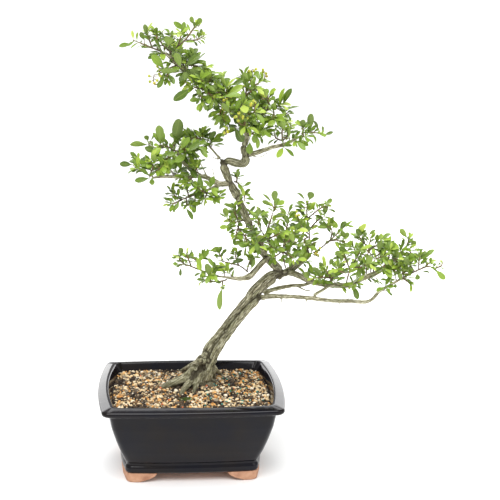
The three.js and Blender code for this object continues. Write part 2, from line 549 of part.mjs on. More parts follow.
    [3, 9, [238, 265.5, -13], [236, 258, -6], [235, 253, -2]],
    [3, 12, [247, 270, -17], [249, 263, -24], [252, 258, -28]],
  ], [
    [230, 264, 243, 258.5, -14, 6.5], [251, 270, 254.5, 259, -30, 7], [209, 251, 219, 248, -4, 6],
    [232, 247, 237, 250.5, -2, 5.5], [235, 268, 231, 277, -20, 3.5],
  ]],
};

// Bunches of berries: picture point, depth, number of berries and spread in mm
const BUNCHES = {
  berries_apex: [154, 76, -34, 6, 9],
  berries_crown_top: [252, 70, -5, 4, 5.5],
  berries_crown_side: [265, 73, 3, 4, 5],
  berries_neck: [228, 99, -36, 5, 6],
  berries_crown_front: [255, 104, -58, 4, 6],
  berries_crown_low: [239, 116, -60, 5, 7],
  berries_left: [226, 130, -40, 4, 5.5],
  berries_right: [317, 251, 8, 5, 6.5],
  berries_central: [298, 213, -22, 3, 4.5],
};

// The same sequence of draws from 0 to 1 for the same seed
function drawsFrom(seed) {
  let state = seed >>> 0;
  return () => {
    state = (state + 0x6d2b79f5) >>> 0;
    let mixed = Math.imul(state ^ (state >>> 15), state | 1);
    mixed ^= mixed + Math.imul(mixed ^ (mixed >>> 7), mixed | 61);
    return ((mixed ^ (mixed >>> 14)) >>> 0) / 4294967296;
  };
}

// Closed geometry to a solid for joining and cutting; points nearer than the tolerance become one
function solidOf(geometry, tolerance = SAME_POINT) {
  const bare = geometry.clone();
  bare.deleteAttribute("normal");
  bare.deleteAttribute("uv");
  const merged = mergeVertices(bare, tolerance);
  return new Manifold(new wasm.Mesh({
    numProp: 3,
    vertProperties: new Float32Array(merged.attributes.position.array),
    triVerts: new Uint32Array(merged.index.array),
  }));
}

// Rings of equal length joined into one closed solid, with a fan over each end
function loft(rings) {
  const count = rings[0].length;
  const places = [];
  const faces = [];
  for (const ring of rings) {
    for (const point of ring) {
      places.push(point.x, point.y, point.z);
    }
  }
  for (let level = 0; level + 1 < rings.length; level += 1) {
    for (let step = 0; step < count; step += 1) {
      const next = (step + 1) % count;
      const a = level * count + step;
      const b = level * count + next;
      const c = (level + 1) * count + next;
      const d = (level + 1) * count + step;
      faces.push(a, b, c, a, c, d);
    }
  }
  const closeEnd = (ring, offset, flip) => {
    if (count === 3) {
      faces.push(offset, offset + (flip ? 2 : 1), offset + (flip ? 1 : 2));
      return;
    }
    const middle = new THREE.Vector3();
    for (const point of ring) {
      middle.addScaledVector(point, 1 / count);
    }
    const hub = places.length / 3;
    places.push(middle.x, middle.y, middle.z);
    for (let step = 0; step < count; step += 1) {
      const next = (step + 1) % count;
      faces.push(hub, offset + (flip ? next : step), offset + (flip ? step : next));
    }
  };
  closeEnd(rings[0], 0, true);
  closeEnd(rings[rings.length - 1], (rings.length - 1) * count, false);
  const geometry = new THREE.BufferGeometry();
  geometry.setAttribute("position", new THREE.Float32BufferAttribute(places, 3));
  geometry.setIndex(faces);
  return solidOf(geometry);
}

// A round, tapering limb through its stations, each a place and a radius
function limbSolid(stations, sides) {
  const rings = [];
  let across = null;
  for (let index = 0; index < stations.length; index += 1) {
    const before = stations[Math.max(index - 1, 0)].place;
    const after = stations[Math.min(index + 1, stations.length - 1)].place;
    const along = after.clone().sub(before).normalize();
    if (across === null) {
      across = new THREE.Vector3(0.31, -0.2, 0.93).cross(along).normalize();
    }
    across = across.clone().addScaledVector(along, -across.dot(along)).normalize();
    const over = along.clone().cross(across);
    const ring = [];
    for (let side = 0; side < sides; side += 1) {
      const turn = (side / sides) * Math.PI * 2;
      const reach = stations[index].radius;
      ring.push(stations[index].place.clone()
        .addScaledVector(across, Math.cos(turn) * reach)
        .addScaledVector(over, Math.sin(turn) * reach));
    }
    rings.push(ring);
  }
  return loft(rings);
}

// The pot's outline at one level: four bowed sides and four round corners
function outline(inset, height, sideSteps = 2, cornerSteps = 2) {
  const halfWidth = RIM_WIDTH / 2 - inset;
  const halfDepth = RIM_DEPTH / 2 - inset;
  const cornerX = halfWidth - SHORT_SIDE_BOW - CORNER_RADIUS;
  const cornerY = halfDepth - LONG_SIDE_BOW - CORNER_RADIUS;
  const quarter = [];
  for (let step = 0; step < sideSteps; step += 1) {
    const along = step / sideSteps;
    quarter.push([halfWidth - SHORT_SIDE_BOW * along * along, cornerY * along]);
  }
  for (let step = 0; step <= cornerSteps; step += 1) {
    const turn = (step / cornerSteps) * Math.PI / 2;
    quarter.push([cornerX + CORNER_RADIUS * Math.cos(turn), cornerY + CORNER_RADIUS * Math.sin(turn)]);
  }
  for (let step = sideSteps - 1; step > 0; step -= 1) {
    const along = step / sideSteps;
    quarter.push([cornerX * along, halfDepth - LONG_SIDE_BOW * along * along]);
  }
  const ring = [];
  const mirrored = quarter.slice(1).map(([x, y]) => [-x, y]).reverse();
  const topHalf = [...quarter, [0, halfDepth], ...mirrored, [-halfWidth, 0]];
  const bottomHalf = topHalf.slice(1, -1).map(([x, y]) => [x, -y]).reverse();
  for (const [x, y] of [...topHalf, ...bottomHalf]) {
    ring.push(new THREE.Vector3(x, y, height));
  }
  return ring;
}

// Inset from the rim's outer edge and height of each level of the pot's outside and inside
const OUTSIDE = [
  [32, FOOT_HEIGHT], [30, 15], [30, 21], [32, 24], [32, 27], [30, 29.5], [24, 45], [18.5, 62],
  [13, 82], [10.5, 97], [10, 101], [1, 105], [0, 108.5], [1.5, 111.4], [11, POT_HEIGHT],
];
const INSIDE = [[38, FLOOR_TOP], [30, 60], [19.5, 104], [16, 110.5], [14, POT_HEIGHT + CUT_PAST]];

function profileLoft(profile, extra = 0) {
  return loft(profile.map(([inset, height]) => outline(inset + extra, height)));
}

function box(width, depth, height, x, y, z) {
  const geometry = new THREE.BoxGeometry(width, depth, height);
  geometry.translate(x, y, z + height / 2);
  return solidOf(geometry);
}

// A prism of a trapezoid, wide at the floor, through the pot's foot
function footGap(floorHalf, topHalf, length, turn) {
  const shape = new THREE.Shape();
  shape.moveTo(-floorHalf, -CUT_PAST);
  shape.lineTo(floorHalf, -CUT_PAST);
  shape.lineTo(floorHalf, FOOT_LIP);
  shape.lineTo(topHalf, FOOT_HEIGHT);
  shape.lineTo(-topHalf, FOOT_HEIGHT);
  shape.lineTo(-floorHalf, FOOT_LIP);
  const geometry = new THREE.ExtrudeGeometry(shape, { depth: length, bevelEnabled: false });
  geometry.translate(0, 0, -length / 2);
  geometry.rotateX(Math.PI / 2);
  geometry.rotateZ(turn);
  return solidOf(geometry);
}

function makePot() {
  const foot = loft([
    outline(FOOT_INSET + FOOT_EDGE, 0),
    outline(FOOT_INSET, FOOT_EDGE),
    outline(FOOT_INSET, FOOT_HEIGHT + CUT_PAST),
  ]);
  const inner = FOOT_INSET + FOOT_WALL;
  const well = loft([outline(inner, -CUT_PAST), outline(inner, FOOT_HEIGHT)]);
  const gaps = footGap(FRONT_GAP_FLOOR, FRONT_GAP_TOP, RIM_DEPTH, 0)
    .add(footGap(SIDE_GAP_FLOOR, SIDE_GAP_TOP, RIM_WIDTH, Math.PI / 2));
  const feet = foot.subtract(well).subtract(gaps);
  let pot = profileLoft(OUTSIDE).add(feet).subtract(profileLoft(INSIDE));
  for (const side of [-1, 1]) {
    const drain = new THREE.CylinderGeometry(DRAIN_RADIUS, DRAIN_RADIUS, FLOOR_TOP, DRAIN_SIDES);
    drain.rotateX(Math.PI / 2);
    drain.translate(side * DRAIN_SPACING / 2, 0, FLOOR_TOP / 2 + DRAIN_BOTTOM);
    pot = pot.subtract(solidOf(drain));
  }
  return pot;
}

// A plastic screen over a drain hole: a square sheet with square openings
function makeScreen(x) {
  const low = FLOOR_TOP + CLEARANCE;
  const pitch = (SCREEN_SIDE - SCREEN_BAR) / SCREEN_CELLS;
  const opening = pitch - SCREEN_BAR;
  let screen = box(SCREEN_SIDE, SCREEN_SIDE, SCREEN_THICK, x, 0, low);
  for (let row = 0; row < SCREEN_CELLS; row += 1) {
    for (let column = 0; column < SCREEN_CELLS; column += 1) {
      const across = (column - (SCREEN_CELLS - 1) / 2) * pitch;
      const back = (row - (SCREEN_CELLS - 1) / 2) * pitch;
      const tall = SCREEN_THICK + 2 * CUT_PAST;
      screen = screen.subtract(box(opening, opening, tall, x + across, back, low - CUT_PAST));
    }
  }
  return screen;
}

// Height of the grit's surface without its grains
function groundHeight(x, y) {
  const far = ((x - TRUNK_FOOT[0]) / GRIT_MOUND_REACH[0]) ** 2
    + ((y - TRUNK_FOOT[1]) / GRIT_MOUND_REACH[1]) ** 2;
  return GRIT_EDGE + GRIT_MOUND * Math.exp(-far);
}

// The wood's stations in mm
const woodStations = {};
for (const [name, stations] of Object.entries(LIMBS)) {
  woodStations[name] = stations.map((station) => ({ place: spot(station), radius: station[3] }));
}

ROOTS.forEach(([degrees, reach, radius], index) => {
  const turn = degrees * Math.PI / 180;
  const bend = ROOT_BENDS[index % 2];
  const stations = [];
  for (const [share, lift, thickness] of ROOT_STEPS) {
    const angle = turn + bend * share;
    const x = TRUNK_FOOT[0] + Math.cos(angle) * reach * share;
    const y = TRUNK_FOOT[1] + Math.sin(angle) * reach * share;
    const z = groundHeight(x, y) + lift * (share < SURFACE_SHARE ? 1 : radius / COMMON_ROOT);
    stations.push({ place: new THREE.Vector3(x, y, z), radius: radius * thickness });
  }
  woodStations[`root_${index}`] = stations;
});
woodStations.tap_root = TAP_ROOT.map(([across, height, radius]) => ({
  place: new THREE.Vector3(TRUNK_FOOT[0] + across, TRUNK_FOOT[1], height),
  radius,
}));

const LIMB_SIDES = { trunk: 7, upper: 5, strand: 5, jog: 5, tap_root: 6, middle_right: 5 };
const COMMON_SIDES = 4;

function sidesOf(name) {
  return LIMB_SIDES[name] || COMMON_SIDES;
}

function makeWood(names, extra = 0) {
  const limbs = names.map((name) => limbSolid(
    woodStations[name].map(({ place, radius }) => ({ place, radius: radius + extra })),
    sidesOf(name)
  ));
  return Manifold.union(limbs);
}

const GROUND_LIMBS = Object.keys(woodStations)
  .filter((name) => name.startsWith("root_") || ["tap_root", "trunk", "strand"].includes(name));

function largestOf(solid) {
  const pieces = solid.decompose();
  pieces.sort((a, b) => b.volume() - a.volume());
  return pieces[0];
}

// A slab whose top is raised in facets by a draw for each grain
function makeGrit(hollow) {
  const draw = drawsFrom(11);
  const width = RIM_WIDTH - 2 * GRIT_INSET;
  const depth = RIM_DEPTH - 2 * GRIT_INSET;
  const columns = Math.round(width / GRIT_CELL);
  const rows = Math.round(depth / GRIT_CELL);
  const places = [];
  const faces = [];
  for (let row = 0; row <= rows; row += 1) {
    for (let column = 0; column <= columns; column += 1) {
      const inside = row > 0 && column > 0 && row < rows && column < columns;
      const shift = inside ? GRIT_CELL * GRIT_SCATTER : 0;
      const x = -width / 2 + (column * width) / columns + (draw() - 0.5) * shift;
      const y = -depth / 2 + (row * depth) / rows + (draw() - 0.5) * shift;
      places.push(x, y, groundHeight(x, y) + (draw() - 0.5) * GRIT_GRAIN);
    }
  }
  const at = (row, column) => row * (columns + 1) + column;
  const edge = [];
  for (let row = 0; row < rows; row += 1) {
    for (let column = 0; column < columns; column += 1) {
      const [a, b] = [at(row, column), at(row, column + 1)];
      const [c, d] = [at(row + 1, column + 1), at(row + 1, column)];
      if ((row + column) % 2) {
        faces.push(a, b, c, a, c, d);
      } else {
        faces.push(a, b, d, b, c, d);
      }
    }
  }
  for (let column = 0; column < columns; column += 1) {
    edge.push(at(0, column));
  }
  for (let row = 0; row < rows; row += 1) {
    edge.push(at(row, columns));
  }
  for (let column = columns; column > 0; column -= 1) {
    edge.push(at(rows, column));
  }
  for (let row = rows; row > 0; row -= 1) {
    edge.push(at(row, 0));
  }
  const first = places.length / 3;
  for (const top of edge) {
    places.push(places[top * 3], places[top * 3 + 1], SOIL_TOP + CLEARANCE);
  }
  const hub = places.length / 3;
  places.push(0, 0, SOIL_TOP + CLEARANCE);
  edge.forEach((top, index) => {
    const next = (index + 1) % edge.length;
    faces.push(top, first + index, edge[next], edge[next], first + index, first + next);
    faces.push(first + index, hub, first + next);
  });
  const geometry = new THREE.BufferGeometry();
  geometry.setAttribute("position", new THREE.Float32BufferAttribute(places, 3));
  geometry.setIndex(faces);
  const inside = profileLoft(INSIDE, CLEARANCE);
  return largestOf(solidOf(geometry).intersect(inside).subtract(hollow));
}

function makeSoil(hollow) {
  const inside = profileLoft(INSIDE, CLEARANCE);
  const lid = box(RIM_WIDTH, RIM_DEPTH, POT_HEIGHT, 0, 0, SOIL_TOP);
  const under = box(RIM_WIDTH, RIM_DEPTH, CLEARANCE, 0, 0, FLOOR_TOP);
  let soil = inside.subtract(lid).subtract(under);
  for (const side of [-1, 1]) {
    const pocket = SCREEN_SIDE + 2 * CLEARANCE;
    const tall = SCREEN_THICK + 3 * CLEARANCE;
    soil = soil.subtract(box(pocket, pocket, tall, side * DRAIN_SPACING / 2, 0, FLOOR_TOP));
  }
  return largestOf(soil.subtract(hollow));
}

// Nearest distance from a place to a limb between two stations, less the limb's radius there
function clearOf(place, limb) {
  const { from, along, length, radius, taper } = limb;
  const reach = place.clone().sub(from);
  const share = Math.min(Math.max(reach.dot(along) / length, 0), 1);
  return reach.addScaledVector(along, -share * length).length() - (radius + taper * share);
}

function segmentsOf(stations, owner) {
  const segments = [];
  for (let index = 0; index + 1 < stations.length; index += 1) {
    const from = stations[index].place;
    const along = stations[index + 1].place.clone().sub(from);
    const length = along.length();
    segments.push({
      owner,
      from,
      along: along.divideScalar(length),
      length,
      radius: stations[index].radius,
      taper: stations[index + 1].radius - stations[index].radius,
    });
  }
  return segments;
}

const segments = [];
for (const [name, stations] of Object.entries(woodStations)) {
  if (!name.startsWith("root_")) {
    segments.push(...segmentsOf(stations, "wood"));
  }
}

// The place on a chain of stations that is nearest to a given place
function nearestOn(stations, place) {
  let best = null;
  for (let index = 0; index + 1 < stations.length; index += 1) {
    const from = stations[index];
    const to = stations[index + 1];
    const along = to.place.clone().sub(from.place);
    const reach = place.clone().sub(from.place);
    const share = Math.min(Math.max(reach.dot(along) / along.lengthSq(), 0), 1);
    const spotHere = from.place.clone().addScaledVector(along, share);
    const gap = spotHere.distanceTo(place);
    if (best === null || gap < best.gap) {
      best = { gap, place: spotHere, radius: from.radius + (to.radius - from.radius) * share };
    }
  }
  return best;
}

// Ways a stem is bent aside, in mm, until it clears what already stands
const SHIFTS = [
  [0, 0], [7, 0], [-7, 0], [0, 6], [0, -6], [12, 5], [-12, 5], [12, -6], [-12, -6], [18, 0], [-18, 0],
];

function stemClear(stations, owner, skip) {
  for (let index = 0; index + 1 < stations.length; index += 1) {
    const from = stations[index];
    const to = stations[index + 1];
    const steps = Math.max(2, Math.ceil(from.place.distanceTo(to.place) / 2));
    for (let step = index === 0 ? skip : 0; step <= steps; step += 1) {
      const place = from.place.clone().lerp(to.place, step / steps);
      for (const limb of segments) {
        if (limb.owner !== owner && clearOf(place, limb) < to.radius + STEM_GAP) {
          return false;
        }
      }
    }
  }
  return true;
}

// Where a stem forks from another: the first place from the one given that is well clear of the wood
function forkOn(stem, place) {
  let started = false;
  let fork = place;
  for (let index = 0; index + 1 < stem.length; index += 1) {
    const from = stem[index].place;
    const to = stem[index + 1].place;
    const steps = Math.max(2, Math.ceil(from.distanceTo(to)));
    for (let step = 0; step <= steps; step += 1) {
      const here = from.clone().lerp(to, step / steps);
      started = started || here.distanceTo(place) < 1;
      if (started) {
        fork = here;
        if (segments.every((limb) => limb.owner !== "wood" || clearOf(here, limb) > FORK_GAP)) {
          return here;
        }
      }
    }
  }
  return fork;
}

// A stem's stations: its foot stands just clear of the limb, or in the middle of the stem it forks from
function placeStem(points, owner, limb, stems) {
  const wanted = points.map(spot);
  let foot;
  const onLimb = stems.length === 0;
  if (onLimb) {
    foot = nearestOn(woodStations[limb], wanted[0]);
  } else {
    for (const stem of stems.filter(Boolean)) {
      const here = nearestOn(stem, wanted[0]);
      if (!foot || here.gap < foot.gap) {
        foot = { ...here, stem };
      }
    }
    foot.place = forkOn(foot.stem, foot.place);
  }
  let fallback = null;
  for (const [depth, lift] of SHIFTS) {
    const stations = [];
    const rest = wanted.slice(1).map((place) => place.clone().add(new THREE.Vector3(0, depth, lift)));
    let start = foot.place.clone();
    if (onLimb) {
      const away = rest[0].clone().sub(start).normalize();
      let walked = 0;
      const wood = segments.filter((segment) => segment.owner === "wood");
      while (walked < LONGEST_WALK && wood.some((segment) => clearOf(start, segment) < FOOT_GAP)) {
        start.addScaledVector(away, WALK_STEP);
        walked += WALK_STEP;
      }
      stations.push({ place: start, radius: STEM_FOOT });
    } else {
      stations.push({ place: start, radius: TWIG_RADIUS * FORK_SHARE });
    }
    rest.forEach((place, index) => {
      const last = index === rest.length - 1;
      stations.push({ place, radius: last ? TWIG_RADIUS * TIP_SHARE : TWIG_RADIUS });
    });
    fallback = fallback || stations;
    if (stemClear(stations, owner, onLimb ? 2 : 0)) {
      return stations;
    }
  }
  return onLimb ? fallback : null;
}

// One leaf: a closed blade with a raised fold, wide beyond its middle and round at its tip
const SMALL_SECTIONS = [[0.36, 0.68], [0.8, 0.92]];
const LARGE_SECTIONS = [[0.28, 0.5], [0.62, 1], [0.88, 0.72]];
const STALK_END = 0.03;

function leafSolid({ foot, along, facing, length, width, root }) {
  const side = along.clone().cross(facing).normalize();
  const sections = length >= LARGE_LEAF ? LARGE_SECTIONS : SMALL_SECTIONS;
  const places = [];
  const faces = [];
  const add = (place) => {
    places.push(place.x, place.y, place.z);
    return places.length / 3 - 1;
  };
  const middleAt = (share) => foot.clone()
    .addScaledVector(along, length * share)
    .addScaledVector(facing, -length * LEAF_DROOP * share * share);
  const ringAt = (share, half, thick) => {
    const middle = middleAt(share);
    return [
      add(middle.clone().addScaledVector(side, half).addScaledVector(facing, thick / 2)),
      add(middle.clone().addScaledVector(side, -half).addScaledVector(facing, thick / 2)),
      add(middle.clone().addScaledVector(facing, -thick / 2)),
    ];
  };
  const start = add(root || foot);
  const rings = sections.map(([share, spread]) => ringAt(share, (width * spread) / 2, LEAF_THICK));
  if (root && root.distanceTo(foot) > LONG_STALK) {
    rings.unshift(ringAt(STALK_END, STALK_THICK / 2, STALK_THICK));
  }
  const end = add(middleAt(1));
  for (let turn = 0; turn < 3; turn += 1) {
    const next = (turn + 1) % 3;
    faces.push(start, rings[0][turn], rings[0][next]);
    for (let level = 0; level + 1 < rings.length; level += 1) {
      const [a, b] = [rings[level][turn], rings[level][next]];
      const [c, d] = [rings[level + 1][next], rings[level + 1][turn]];
      faces.push(a, c, b, a, d, c);
    }
    const top = rings[rings.length - 1];
    faces.push(top[turn], end, top[next]);
  }
  const geometry = new THREE.BufferGeometry();
  geometry.setAttribute("position", new THREE.Float32BufferAttribute(places, 3));
  geometry.setIndex(faces);
  return solidOf(geometry);
}

// Balls along a leaf that stand for it when neighbours are kept apart: share of its length and spread
const LEAF_BALLS = [[0.2, 0.3], [0.42, 0.72], [0.66, 0.95], [0.88, 0.75]];
const placedBalls = [];

function ballsOf({ foot, along, facing, length, width }) {
  return LEAF_BALLS.map(([share, spread]) => ({
    place: foot.clone()
      .addScaledVector(along, length * share)
      .addScaledVector(facing, -length * LEAF_DROOP * share * share),
    radius: (width * spread) / 2,
  }));
}

function leafClear(leaf, owner) {
  const balls = ballsOf(leaf);
  for (const ball of balls) {
    for (const limb of segments) {
      if (limb.owner !== owner && clearOf(ball.place, limb) < ball.radius + LEAF_GAP) {
        return false;
      }
    }
    for (const other of placedBalls) {
      const gap = ball.place.distanceTo(other.place) - ball.radius - other.radius;
      const overlap = LEAF_OVERLAP * Math.min(ball.radius, other.radius);
      if (gap < (other.owner === owner ? -overlap : LEAF_GAP)) {
        return false;
      }
    }
  }
  return true;
}

function keepLeaf(leaf, owner) {
  for (const ball of ballsOf(leaf)) {
    placedBalls.push({ ...ball, owner });
  }
}

// A leaf seen in the picture from its foot to its tip, turned so that it shows the width given
const DEPTH_TRIES = [0, -4, 4, -8, 8, -12, 12, -17, 17, -22, 22];
const TIP_FORWARD = 2;
const NARROWEST = 0.8;
const STALK_REACH = 0.2;

function standoutLeaf([footAcross, footDown, tipAcross, tipDown, depth, shown], owner, stems) {
  for (const shift of DEPTH_TRIES) {
    const foot = spot([footAcross, footDown, depth + shift]);
    const tip = spot([tipAcross, tipDown, depth + shift - TIP_FORWARD]);
    const along = tip.clone().sub(foot);
    const length = along.length();
    along.divideScalar(length);
    const width = Math.max(shown, length * LEAF_ASPECT * NARROWEST);
    const level = along.clone().cross(viewForward).normalize();
    const towards = level.clone().cross(along).normalize();
    const turn = Math.acos(Math.min(shown / width, 1));
    const facing = towards.multiplyScalar(-Math.cos(turn)).addScaledVector(level, Math.sin(turn));
    if (facing.z < 0) {
      facing.negate();
    }
    const leaf = { foot, along, facing, length, width };
    let root = null;
    for (const stem of stems) {
      const here = nearestOn(stem, foot);
      if (!root || here.gap < root.gap) {
        root = here;
      }
    }
    const stalk = [
      { place: root.place, radius: STALK_RADIUS },
      { place: foot.clone().addScaledVector(along, length * STALK_REACH), radius: STALK_TIP_RADIUS },
    ];
    if (leafClear(leaf, owner) && stemClear(stalk, owner, 0)) {
      return { ...leaf, root: root.gap > TWIG_RADIUS ? root.place : null, stalk };
    }
  }
  return null;
}

// A leaf that grows from a stem by a draw: spiralled round it, raised, its face to the light
function grownLeaf(stem, share, number, size, draw, owner) {
  const spots = stem.length - 1;
  const scaled = Math.min(share * spots, spots - 1e-6);
  const index = Math.floor(scaled);
  const from = stem[index].place;
  const to = stem[index + 1].place;
  const foot = from.clone().lerp(to, scaled - index);
  const forward = to.clone().sub(from).normalize();
  const side = new THREE.Vector3(0.2, 0.3, 1).cross(forward).normalize();
  const over = forward.clone().cross(side);
  for (let attempt = 0; attempt < LEAF_TRIES; attempt += 1) {
    const turn = number * LEAF_SPIRAL + (draw() - 0.5) * (1 + attempt * 0.5);
    const spread = 0.75 + draw() * 0.55;
    const smaller = attempt > SMALLER_AFTER ? SMALLER_SHARE : 1;
    const length = size * GROWN_LEAF * (0.78 + draw() * 0.42) * smaller;
    const along = forward.clone().multiplyScalar(Math.cos(spread))
      .addScaledVector(side, Math.cos(turn) * Math.sin(spread))
      .addScaledVector(over, Math.sin(turn) * Math.sin(spread));
    along.z += LEAF_RISE;
    along.normalize();
    const light = new THREE.Vector3(
      (draw() - 0.5) * LIGHT_SCATTER, (draw() - 0.5) * LIGHT_SCATTER - LIGHT_FROM_FRONT, 1
    );
    const facing = light.addScaledVector(along, -light.dot(along)).normalize();
    const width = length * LEAF_ASPECT * (0.9 + draw() * 0.25);
    const leaf = { foot, along, facing, length, width };
    if (leafClear(leaf, owner)) {
      return leaf;
    }
  }
  return null;
}

// All stems come first, then the leaves that stand out, then the rest
const stemsOf = {};
for (const [name, [limb, stems]] of Object.entries(SPRAYS)) {
  stemsOf[name] = [];
  for (const [, , ...points] of stems) {
    const stations = placeStem(points, name, limb, stemsOf[name]);
    if (stations) {
      stemsOf[name].push(stations);
      segments.push(...segmentsOf(stations, name));
    } else {
      stemsOf[name].push(null);
    }
  }
}

// A bunch of berries on short stalks that spread from one stem, the lowest berries first
function bunchOf([across, down, depth, count, spread], seed) {
  const draw = drawsFrom(seed);
  const middle = spot([across, down, depth]);
  const foot = middle.clone().add(new THREE.Vector3(0, spread * 0.6, -spread * 1.2));
  const tip = middle.clone().add(new THREE.Vector3(0, -spread * 0.1, spread * 0.2));
  const berries = [];
  for (let number = 0; number < count * BERRY_TRIES && berries.length < count; number += 1) {
    const turn = draw() * Math.PI * 2;
    const rise = draw() * 2 - 1;
    const flat = Math.sqrt(1 - rise * rise);
    const place = middle.clone().add(new THREE.Vector3(
      Math.cos(turn) * flat, Math.sin(turn) * flat, rise
    ).multiplyScalar(spread * (0.75 + draw() * 0.3)));
    const free = segments.every((limb) => clearOf(place, limb) > BERRY_RADIUS + BERRY_GAP);
    const apart = berries.every((other) => other.distanceTo(place) > BERRY_RADIUS * 2.15);
    const out = nearestOn([{ place: foot, radius: 1 }, { place: tip, radius: 1 }], place).gap;
    if (free && apart && out > BERRY_RADIUS * 1.6) {
      berries.push(place);
    }
  }
  berries.sort((a, b) => a.z - b.z);
  return { foot, tip, berries };
}

const bunches = {};
Object.entries(BUNCHES).forEach(([name, bunch], index) => {
  bunches[name] = bunchOf(bunch, 300 + index);
  const { foot, tip, berries } = bunches[name];
  segments.push(...segmentsOf([{ place: foot, radius: 1 }, { place: tip, radius: 1 }], name));
  for (const place of berries) {
    placedBalls.push({ place, radius: BERRY_RADIUS, owner: name });
  }
});

const leavesOf = {};
for (const [name, [, , standouts]] of Object.entries(SPRAYS)) {
  const stems = stemsOf[name].filter(Boolean);
  leavesOf[name] = [];
  for (const standout of standouts) {
    const found = standoutLeaf(standout, name, stems);
    if (found) {
      leavesOf[name].push(found);
      keepLeaf(found, name);
      if (found.root) {
        segments.push(...segmentsOf(found.stalk, name));
      }
    }
  }
}

Object.entries(SPRAYS).forEach(([name, [, stems]], order) => {
  const draw = drawsFrom(100 + order);
  stems.forEach(([count, size], index) => {
    const stem = stemsOf[name][index];
    if (!stem) {
      return;
    }
    const grown = Math.round(count * LEAF_SHARE);
    for (let number = 0; number < grown; number += 1) {
      const share = FIRST_LEAF + ((1 - FIRST_LEAF) * (number + 1)) / grown - TIP_LEAF_BACK;
      const leaf = grownLeaf(stem, share, number, size, draw, name);
      if (leaf) {
        leavesOf[name].push(leaf);
        keepLeaf(leaf, name);
      }
    }
  });
});

function makeSpray(name) {
  const solids = [];
  for (const stem of stemsOf[name].filter(Boolean)) {
    solids.push(limbSolid(stem, 3));
  }
  for (const leaf of leavesOf[name]) {
    solids.push(leafSolid(leaf));
  }
  const whole = Manifold.union(solids);
  return largestOf(whole);
}

// A berry on its own short stalk, from the bunch's stem to the berry's far end
function berrySolid(foot, place) {
  const along = place.clone().sub(foot);
  const length = along.length();
  along.divideScalar(length);
  const at = (share, radius) => ({ place: foot.clone().addScaledVector(along, length * share), radius });
  const neck = 1 - (BERRY_RADIUS * 1.05) / length;
  const far = 1 + (BERRY_RADIUS * 0.9) / length;
  return limbSolid([at(0, 0.3), at(neck, 0.4), at(1, BERRY_RADIUS), at(far, 0.4)], 4);
}

function makeBunch({ foot, tip, berries }) {
  const stalks = berries.map((place, index) => {
    const share = 0.3 + (0.68 * index) / Math.max(berries.length - 1, 1);
    return berrySolid(foot.clone().lerp(tip, share), place);
  });
  const stem = limbSolid([{ place: foot, radius: 0.7 }, { place: tip, radius: 0.6 }], 3);
  return largestOf(Manifold.union([stem, ...stalks]));
}

const MATERIALS = {
  glaze: new THREE.MeshStandardMaterial({ color: 0x1d1e29, roughness: 0.12, metalness: 0 }),
  screen: new THREE.MeshStandardMaterial({ color: 0x2a2c2a, roughness: 0.6, metalness: 0 }),
  soil: new THREE.MeshStandardMaterial({ color: 0x3a2a1e, roughness: 0.95, metalness: 0 }),
  grit: new THREE.MeshStandardMaterial({ color: 0xbfa27c, roughness: 0.9, metalness: 0 }),
  bark: new THREE.MeshStandardMaterial({ color: 0x9a9678, roughness: 0.85, metalness: 0 }),
  leaf: new THREE.MeshStandardMaterial({ color: 0x5f8f33, roughness: 0.4, metalness: 0 }),
  berry: new THREE.MeshStandardMaterial({ color: 0xc9b832, roughness: 0.35, metalness: 0 }),
};

const bonsai = new THREE.Group();

function geometryOf(solid) {
  const { vertProperties, triVerts } = solid.getMesh();
  const geometry = new THREE.BufferGeometry();
  geometry.setAttribute("position", new THREE.Float32BufferAttribute(vertProperties, 3));
  geometry.setIndex(Array.from(triVerts));
  return geometry;
}

// The solid with its finest slivers closed, and without any scrap that they held
function settled(solid) {
  return largestOf(solidOf(geometryOf(solid), SLIVER));
}

function addPart(name, solid, material) {
  const geometry = geometryOf(settled(settled(solid)));
  geometry.computeVertexNormals();
  const mesh = new THREE.Mesh(geometry, material);
  mesh.name = name;
  bonsai.add(mesh);
}

const hollow = makeWood(GROUND_LIMBS, ROOT_HOLE_GAP);
addPart("pot", makePot(), MATERIALS.glaze);
addPart("drain_screen_left", makeScreen(-DRAIN_SPACING / 2), MATERIALS.screen);
addPart("drain_screen_right", makeScreen(DRAIN_SPACING / 2), MATERIALS.screen);
addPart("soil", makeSoil(hollow), MATERIALS.soil);
addPart("grit", makeGrit(hollow), MATERIALS.grit);
addPart("wood", largestOf(makeWood(Object.keys(woodStations))), MATERIALS.bark);
for (const name of Object.keys(SPRAYS)) {
  addPart(`spray_${name}`, makeSpray(name), MATERIALS.leaf);
}
for (const [name, bunch] of Object.entries(bunches)) {
  addPart(name, makeBunch(bunch), MATERIALS.berry);
}

// The tree leans out past the pot, so the middle of the whole isn't the middle of the pot
const bounds = new THREE.Box3().setFromObject(bonsai);
const origin = bounds.getCenter(new THREE.Vector3());
const placed = new THREE.Group();
bonsai.position.set(-origin.x, -origin.y, -bounds.min.z);
placed.add(bonsai);

export default placed;
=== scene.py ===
# Firethorn bonsai in a glazed rectangular pot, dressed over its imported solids.
# Shapes are worked out in millimetres from the middle of the pot's foot, then placed in metres.
import math

import bmesh
import bpy
import numpy as np
from mathutils import Matrix, Vector, kdtree, noise


